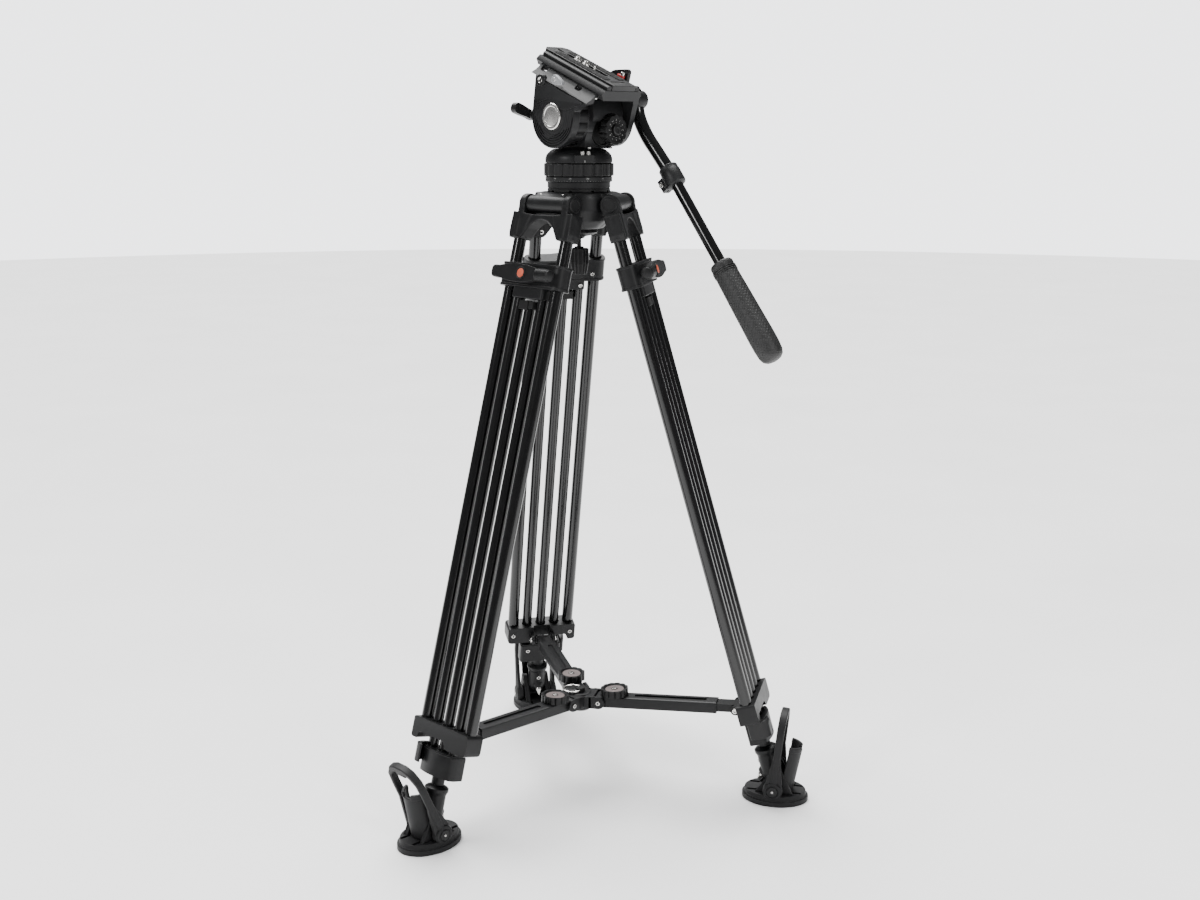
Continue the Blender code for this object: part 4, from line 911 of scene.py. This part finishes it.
def make_cradle():
    low, high = 43.5, 56.8
    cradle = Solid()
    half = [(33.4, low), (34.6, 36.5), (46.2, 36.5), (44.6, 38), (40.6, 40.6), (36.4, 44.4), (33.2, 48.6),
            (31.4, 53)]
    flank = half + [(-y, z) for y, z in reversed(half)]
    cradle.prism("X", flank, -52, 54.5)
    deck = [(30.6, low + 1), (32.4, 47.6), (35.2, 51), (34.4, 53), (31, high), (-31, high), (-31, low + 1)]
    cradle.prism("X", deck, -63, 63.5)
    arm = [(37, -8), (41, 8), (44, 22), (46.6, 32), (47.4, 38), (-50, 38), (-49, 34), (-42, 30), (-33, 20),
            (-34, 0), (0, -30)]
    cradle.prism("Y", rounded(arm, [2, 8, 8, 8, 1, 1, 5, 10, 10, 2, 2]), 34, 44.6)
    ear = [(34, -8), (36, 14), (42, 30), (44, 38), (-50, 38), (-50, 28), (-52, 10), (-51, -8), (-42, -22),
            (-24, -31), (0, -36), (20, -30)]
    cradle.prism("Y", rounded(ear, [12, 8, 8, 2, 2, 8, 10, 10, 12, 12, 14, 14]), -46, -37.6)
    block = [(-3, 52), (-6, 62), (-12, 66.5), (-32, 74.5), (-36, 73), (-38, 52)]
    cradle.prism("Y", rounded(block, [1, 4, 4, 3, 2, 1]), -33.4, -28.4)
    cuts = Solid()
    for x in (44, -22):
        for side in (-1, 1):
            cuts.prism("Y", rectangle(5.4, 2.9, 2.9, (x, 45.4)), min(side * 33, side * 60),
                    max(side * 33, side * 60))
    cuts.rod("Y", 3.6, 38, 60, at=(34, 0, 34), edge=0.1, segments=32)
    piece("cradle_casting", cradle, TILT_FRAME, "cradle", "head", ["cradle"], bevel=1.1, cut=cuts,
            segments=3)
    rails = Solid()
    for side in (-1, 1):
        rails.prism("X", rounded([(side * 20.6, high - 1), (side * 27.6, high - 1), (side * 27.6,
                high + 3.4),
                (side * 26, high + 5), (side * 20.6, high + 5)], 0.6), -62, 62)
    piece("plate_rails", rails, TILT_FRAME, "cradle", "head", bevel=0.5)

    grooves = [(0, 33.9), (38, 33.9), (39, 35), (39, 43.8), (38, 44.9)]
    for step in range(6):
        radius = 36.6 - step * 3.0
        grooves += [(radius, 44.9), (radius - 0.5, 43.7), (radius - 1.3, 43.7), (radius - 1.8, 44.9)]
    disc = Solid().lathe(grooves + [(17.4, 44.9), (17, 44.2), (0, 44.2)], "Y", segments=96)
    piece("side_disc", disc, TILT_FRAME, "cradle", "head", bevel=0)
    pad = Solid().prism("Y", rounded([(35, 3), (40, 12), (43, 24), (45.6, 35), (-46, 35), (-38, 29), (-27,
            20),
            (-16, 14), (18, 15)], [3, 6, 6, 2, 2, 8, 8, 6, 6]), 44, 46.2)
    piece("arm_face", pad, TILT_FRAME, "cradle", "head", bevel=1.0, segments=3)
    boss = Solid().lathe([(3.2, 43), (3.2, 48), (3.8, 48.6), (6.6, 48.6), (7.4, 47.8), (8, 43)], "Y", (34,
            0, 34), 40)
    piece("thread_boss", boss, TILT_FRAME, "cradle", "head", bevel=0.1)
    thread = Solid()
    for step in range(5):
        thread.lathe([(3.3, 44 + step), (2.8, 44.5 + step), (3.3, 45 + step), (3.6, 44.5 + step)], "Y",
                (34, 0, 34), 32)
    piece("boss_thread", thread, TILT_FRAME, "cradle", "steel", bevel=0)
    cap = Solid().lathe([(0, 44.6), (16.2, 44.6), (16.2, 47), (15.2, 47.9), (12.6, 47.9), (12.0, 47.3), (6,
            47.7),
            (0, 47.8)], "Y", segments=72)
    piece("medallion", cap, TILT_FRAME, "cradle", "chrome", ["medallion_cap"], bevel=0.15)
    rosette = Solid().lathe([(0, -37.8), (12, -37.8), (12, -46.6), (11, -48.5), (0, -48.5)], "Y",
            (-37, 0, 37), 56)
    piece("rosette_boss", rosette, TILT_FRAME, "cradle", "head", bevel=0.4)
    screws = Solid()
    for x in (-50, 48):
        for y in (-24, 24):
            screw_head(screws, "Z", 2.2, 42.4, 1.6, at=(x, y * 1.3, 0))
    screw_head(screws, "Y", 2.6, -45.8, -1.4, at=(12, 0, 30))
    screw_head(screws, "Y", 2.6, -45.8, -1.4, at=(-12, 0, -14))
    piece("cradle_screws", screws, TILT_FRAME, "cradle", "steel", bevel=0.1)


def make_controls():
    lock_turn = make_frame(place("tilt_lock_turn"), LEFT.cross(UP), UP)
    stem = Solid().lathe([(0, 0), (6.4, 0), (6.4, 3), (5.4, 4), (5.4, 10), (4.6, 12), (0, 12.2)], "X")
    piece("lock_stem", stem, lock_turn, "tilt_lock", "lever", ["tilt_lock_lever"], bevel=0.3)
    reach = spin(20, "X")
    outline = [(-6, -6), (8, -5.4), (18, -6.6), (29, -6.6), (31.5, 0), (29, 6.6), (18, 6.6), (8, 5.4), (-6,
            6)]
    blade = Solid().prism("X", rounded(outline, [4, 6, 5, 4, 3, 4, 5, 6, 4]), 3.6, 12.4, turn=reach)
    blade.rod("X", 5.6, 12, 14.2, edge=0.8, turn=reach)
    piece("lock_blade", blade, lock_turn, "tilt_lock", "lever", bevel=1.6, segments=3)
    release = make_frame(place("release_turn"), axis("plate_slide"), axis("plate_slide").cross(LEFT))
    drop = arc((0, 0), 5.8, 100, -100, 20) + [(-8, -3.8), (-14.6, -1.6), (-14.6, 1.8), (-8, 4.2)]
    piece("release_drop", Solid().prism("Y", rounded(drop, 1.2, 3), 0, 5), release, "plate_release",
            "release",
            ["plate_release_lever"], bevel=1.4, segments=4)
    hub = Solid()
    screw_head(hub, "Y", 2.4, 4.6, 0.9)
    piece("release_screw", hub, release, "plate_release", "steel", bevel=0.1)

    outline = [(-63, -20), (67, -20), (73, -14), (73, 14), (67, 20), (-63, 20)]
    plate = Solid().prism("Z", rounded(outline, [2, 2, 2, 2, 2, 2]), 57.2, 64.0)
    slots = Solid().prism("Z", rectangle(38, 3.5, 3.5, (8, 0)), 50, 70)
    slots.prism("Z", rectangle(6, 2.2, 2.2, (60, 0)), 50, 70)
    slots.prism("Z", rectangle(1, 12, 0.5, (-50, 0)), 63.2, 70)
    piece("plate_body", plate, TILT_FRAME, "plate", "plate", ["camera_plate"], bevel=0.8, cut=slots,
            segments=3)
    strips = Solid()
    for side in (-1, 1):
        strips.prism("Z", rounded([(-44, side * 6.5), (54, side * 6.5), (54, side * 17.6), (-44,
                side * 17.6)], 2),
                63.5, 64.8)
        for step in range(24):
            x = -42 + step * 4
            strips.prism("Z", rounded([(x, side * 7.4), (x + 2.2, side * 7.4), (x + 2.2, side * 16.8),
                    (x, side * 16.8)], 0.5), 64.6, 65.3)
    piece("plate_strips", strips, TILT_FRAME, "plate", "strip", bevel=0.25)
    for name, x, body, nodes in (("front", 26.6, "camera_screw", ["camera_screw"]), ("rear", 10.9, "plate",
            [])):
        thread = [(0, 57.6), (2.9, 57.6), (2.9, 60)]
        for step in range(8):
            thread += [(3.1, 60.4 + step), (2.5, 60.9 + step)]
        thread += [(2.2, 68.6), (0, 68.8)]
        piece("screw_" + name, Solid().lathe(thread, at=(x, 0, 0), segments=40), TILT_FRAME, body, "steel",
                nodes,
                bevel=0)
        collar = Solid().lathe([(3.1, 60), (5.4, 60), (5.4, 64.4), (4.8, 65.2), (3.1, 65.2)], at=(x, 0, 0))
        piece("collar_" + name, collar, TILT_FRAME, body, "steel", bevel=0.2)
    pin = Solid().lathe([(0, 60), (1.6, 60), (1.6, 67), (1.1, 67.8), (0, 67.9)], at=(-4.9, 0, 0),
            segments=24)
    piece("plate_pin", pin, TILT_FRAME, "plate", "steel", bevel=0)

    lock_at = make_frame(place("plate_lock_turn"), axis("plate_slide"), axis("plate_slide").cross(LEFT))
    lock = Solid().prism("Y", lobes(8.6, 1.1, 8, 12), -6.6, -0.6)
    piece("plate_knob", lock, lock_at, "plate_lock", "knob", ["plate_lock_knob"], bevel=1.0, segments=3)
    end = Solid().rod("Y", 4, -2, 0.2, edge=0.2)
    piece("plate_knob_stem", end, lock_at, "plate_lock", "steel", bevel=0.1)
    catch = Solid().prism("Z", rounded([(-34, -27), (-24, -27), (-24, -21.6), (-34, -21.6)], 1.2), 62.2, 66)
    piece("catch_slider", catch, TILT_FRAME, "safety_catch", "catch", ["safety_catch"], bevel=0.7,
            segments=3)
    pip = Solid().lathe([(0, 65), (2.6, 65), (2.6, 69.4), (2, 70), (0, 70.1)], at=(-31, -24.3, 0),
            segments=28)
    piece("catch_pin", pip, TILT_FRAME, "safety_catch", "steel", bevel=0)


def make_handle():
    path = spline([(0, 0, 6), (0, 0, -12), (-6, 0, -28), (-18, 0, -46), (-33, 0, -62.5), (-49, 0, -80),
            (-60, 0, -92), (-66, 0, -99.4)], 8)
    piece("bar_curve", Solid().sweep(path, 8.6, 48), HANDLE_FRAME, "handle", "tube", ["handle_upper_tube"],
            bevel=0)
    hub = Solid().lathe([(0, 8.2), (11, 8.2), (11.6, 7.2), (11.6, -7), (10.4, -9), (6.4, -9.6), (6, -8.8),
            (0, -8.8)],
            "Y", segments=64)
    piece("bar_hub", hub, HANDLE_FRAME, "handle", "casting", bevel=0.4)
    bolt = Solid()
    screw_head(bolt, "Y", 4.2, -8.9, -2.2)
    piece("bar_hub_bolt", bolt, HANDLE_FRAME, "handle", "steel", bevel=0.15)
    along = HANDLE_FRAME @ Matrix.Translation((-62.5, 0, -95)) @ Matrix.Rotation(math.radians(128.6), 4,
            "Y")
    collar = Solid().lathe([(8.2, -15), (11.4, -15), (12.4, -14), (12.4, -9), (12.9, -8), (12.9, 8), (12.2,
            10.6),
            (9, 12.4), (7.2, 12.4), (7.2, 4), (8.2, 2)], "X", segments=56)
    collar.prism("X", rounded([(-6.4, 6), (6.4, 6), (6.4, 21.6), (-6.4, 21.6)], [1, 1, 3, 3]), -8, 8)
    gap = Solid().box((-20, -0.8, 9), (20, 0.8, 30))
    piece("bar_collar", collar, along, "handle", "casting", bevel=0.8, cut=gap, segments=3)
    clamp = Solid()
    screw_head(clamp, "Y", 3.4, 6, 3.2, at=(0, 0, 16))
    screw_head(clamp, "Y", 3.0, -6, -2, at=(0, 0, 16))
    piece("collar_bolt", clamp, along, "handle", "steel", bevel=0.15)
    piece("bar_straight", Solid().rod("X", 7.4, 4, 131, edge=0.2, segments=56), along, "handle", "tube",
            ["handle_lower_tube"], bevel=0)
    grip = Solid().lathe([(0, 271.4), (5, 271.2), (10, 269.6), (13.6, 266.4), (15.6, 261), (16.5, 250),
            (16.6, 236),
            (16, 205), (15.4, 170), (14.8, 145), (14.2, 138), (14.8, 136.4), (14.8, 132.4), (13.8, 130.6),
            (7.5, 130), (0, 130)], "X", segments=72)
    piece("grip_sleeve", grip, along, "handle", "grip", ["handle_grip"], bevel=0)
    rib = Solid()
    for place_x in (139, 141.6, 144.2):
        rib.lathe([(14, place_x), (15.5, place_x + 0.2), (15.5, place_x + 1.3), (14, place_x + 1.5)], "X",
                segments=72)
    piece("grip_ribs", rib, along, "handle", "grip", bevel=0)


# ---------------------------------------------------------------- studio
def make_studio():
    floor = Solid().prism("Z", oval(FLOOR_RADIUS, FLOOR_RADIUS, 96), -FLOOR_DEPTH, 0)
    ground = floor.object("studio_floor", make_frame(Vector((0, 0, 0)), Vector((1, 0, 0)), UP))
    ground.data.materials.append(surface("studio_paper", (0.93, 0.93, 0.93), 0.75, tint=0.02, bump=0.05,
            mottle=3))
    world = bpy.data.worlds.new("studio")
    bpy.context.scene.world = world
    world.use_nodes = True
    tree = world.node_tree
    tree.nodes["Background"].inputs["Color"].default_value = (0.97, 0.98, 1.0, 1)
    path = tree.nodes.new("ShaderNodeLightPath")
    level = tree.nodes.new("ShaderNodeMapRange")
    level.inputs["To Min"].default_value = WORLD_AS_LIGHT
    level.inputs["To Max"].default_value = WORLD_TO_CAMERA
    tree.links.new(path.outputs["Is Camera Ray"], level.inputs["Value"])
    tree.links.new(level.outputs["Result"], tree.nodes["Background"].inputs["Strength"])
    for name, spot, size, power in AREA_LIGHTS:
        light = bpy.data.lights.new(name, "AREA")
        light.energy = power
        light.shape = "RECTANGLE"
        light.size = size
        light.size_y = size * AREA_LIGHT_ASPECT
        item = bpy.data.objects.new(name, light)
        bpy.context.scene.collection.objects.link(item)
        item.location = spot
        item.rotation_euler = (Vector(LIGHT_AIM) - Vector(spot)).to_track_quat("-Z", "Y").to_euler()

    sky = bpy.data.lights.new("overhead", "SUN")
    sky.energy = OVERHEAD_ENERGY
    sky.angle = math.radians(OVERHEAD_ANGLE)
    item = bpy.data.objects.new("overhead", sky)
    bpy.context.scene.collection.objects.link(item)
    item.rotation_euler = (math.radians(OVERHEAD_TURN[0]), math.radians(OVERHEAD_TURN[1]), 0)


def make_camera():
    view = bpy.data.cameras.new("camera")
    view.lens = CAMERA_LENS
    view.sensor_width = CAMERA_SENSOR
    item = bpy.data.objects.new("camera", view)
    bpy.context.scene.collection.objects.link(item)
    centre = Vector((PAN.x, PAN.y, 0))
    item.location = centre + CAMERA_AT
    aim = centre + CAMERA_AIM - item.location
    item.rotation_euler = aim.to_track_quat("-Z", "Y").to_euler()
    bpy.context.scene.camera = item


make_camera()
for leg_letter in LEGS:
    make_leg(leg_letter)
make_spreader()
make_crown()
make_drag_body()
make_cradle()
make_controls()
make_handle()
make_studio()
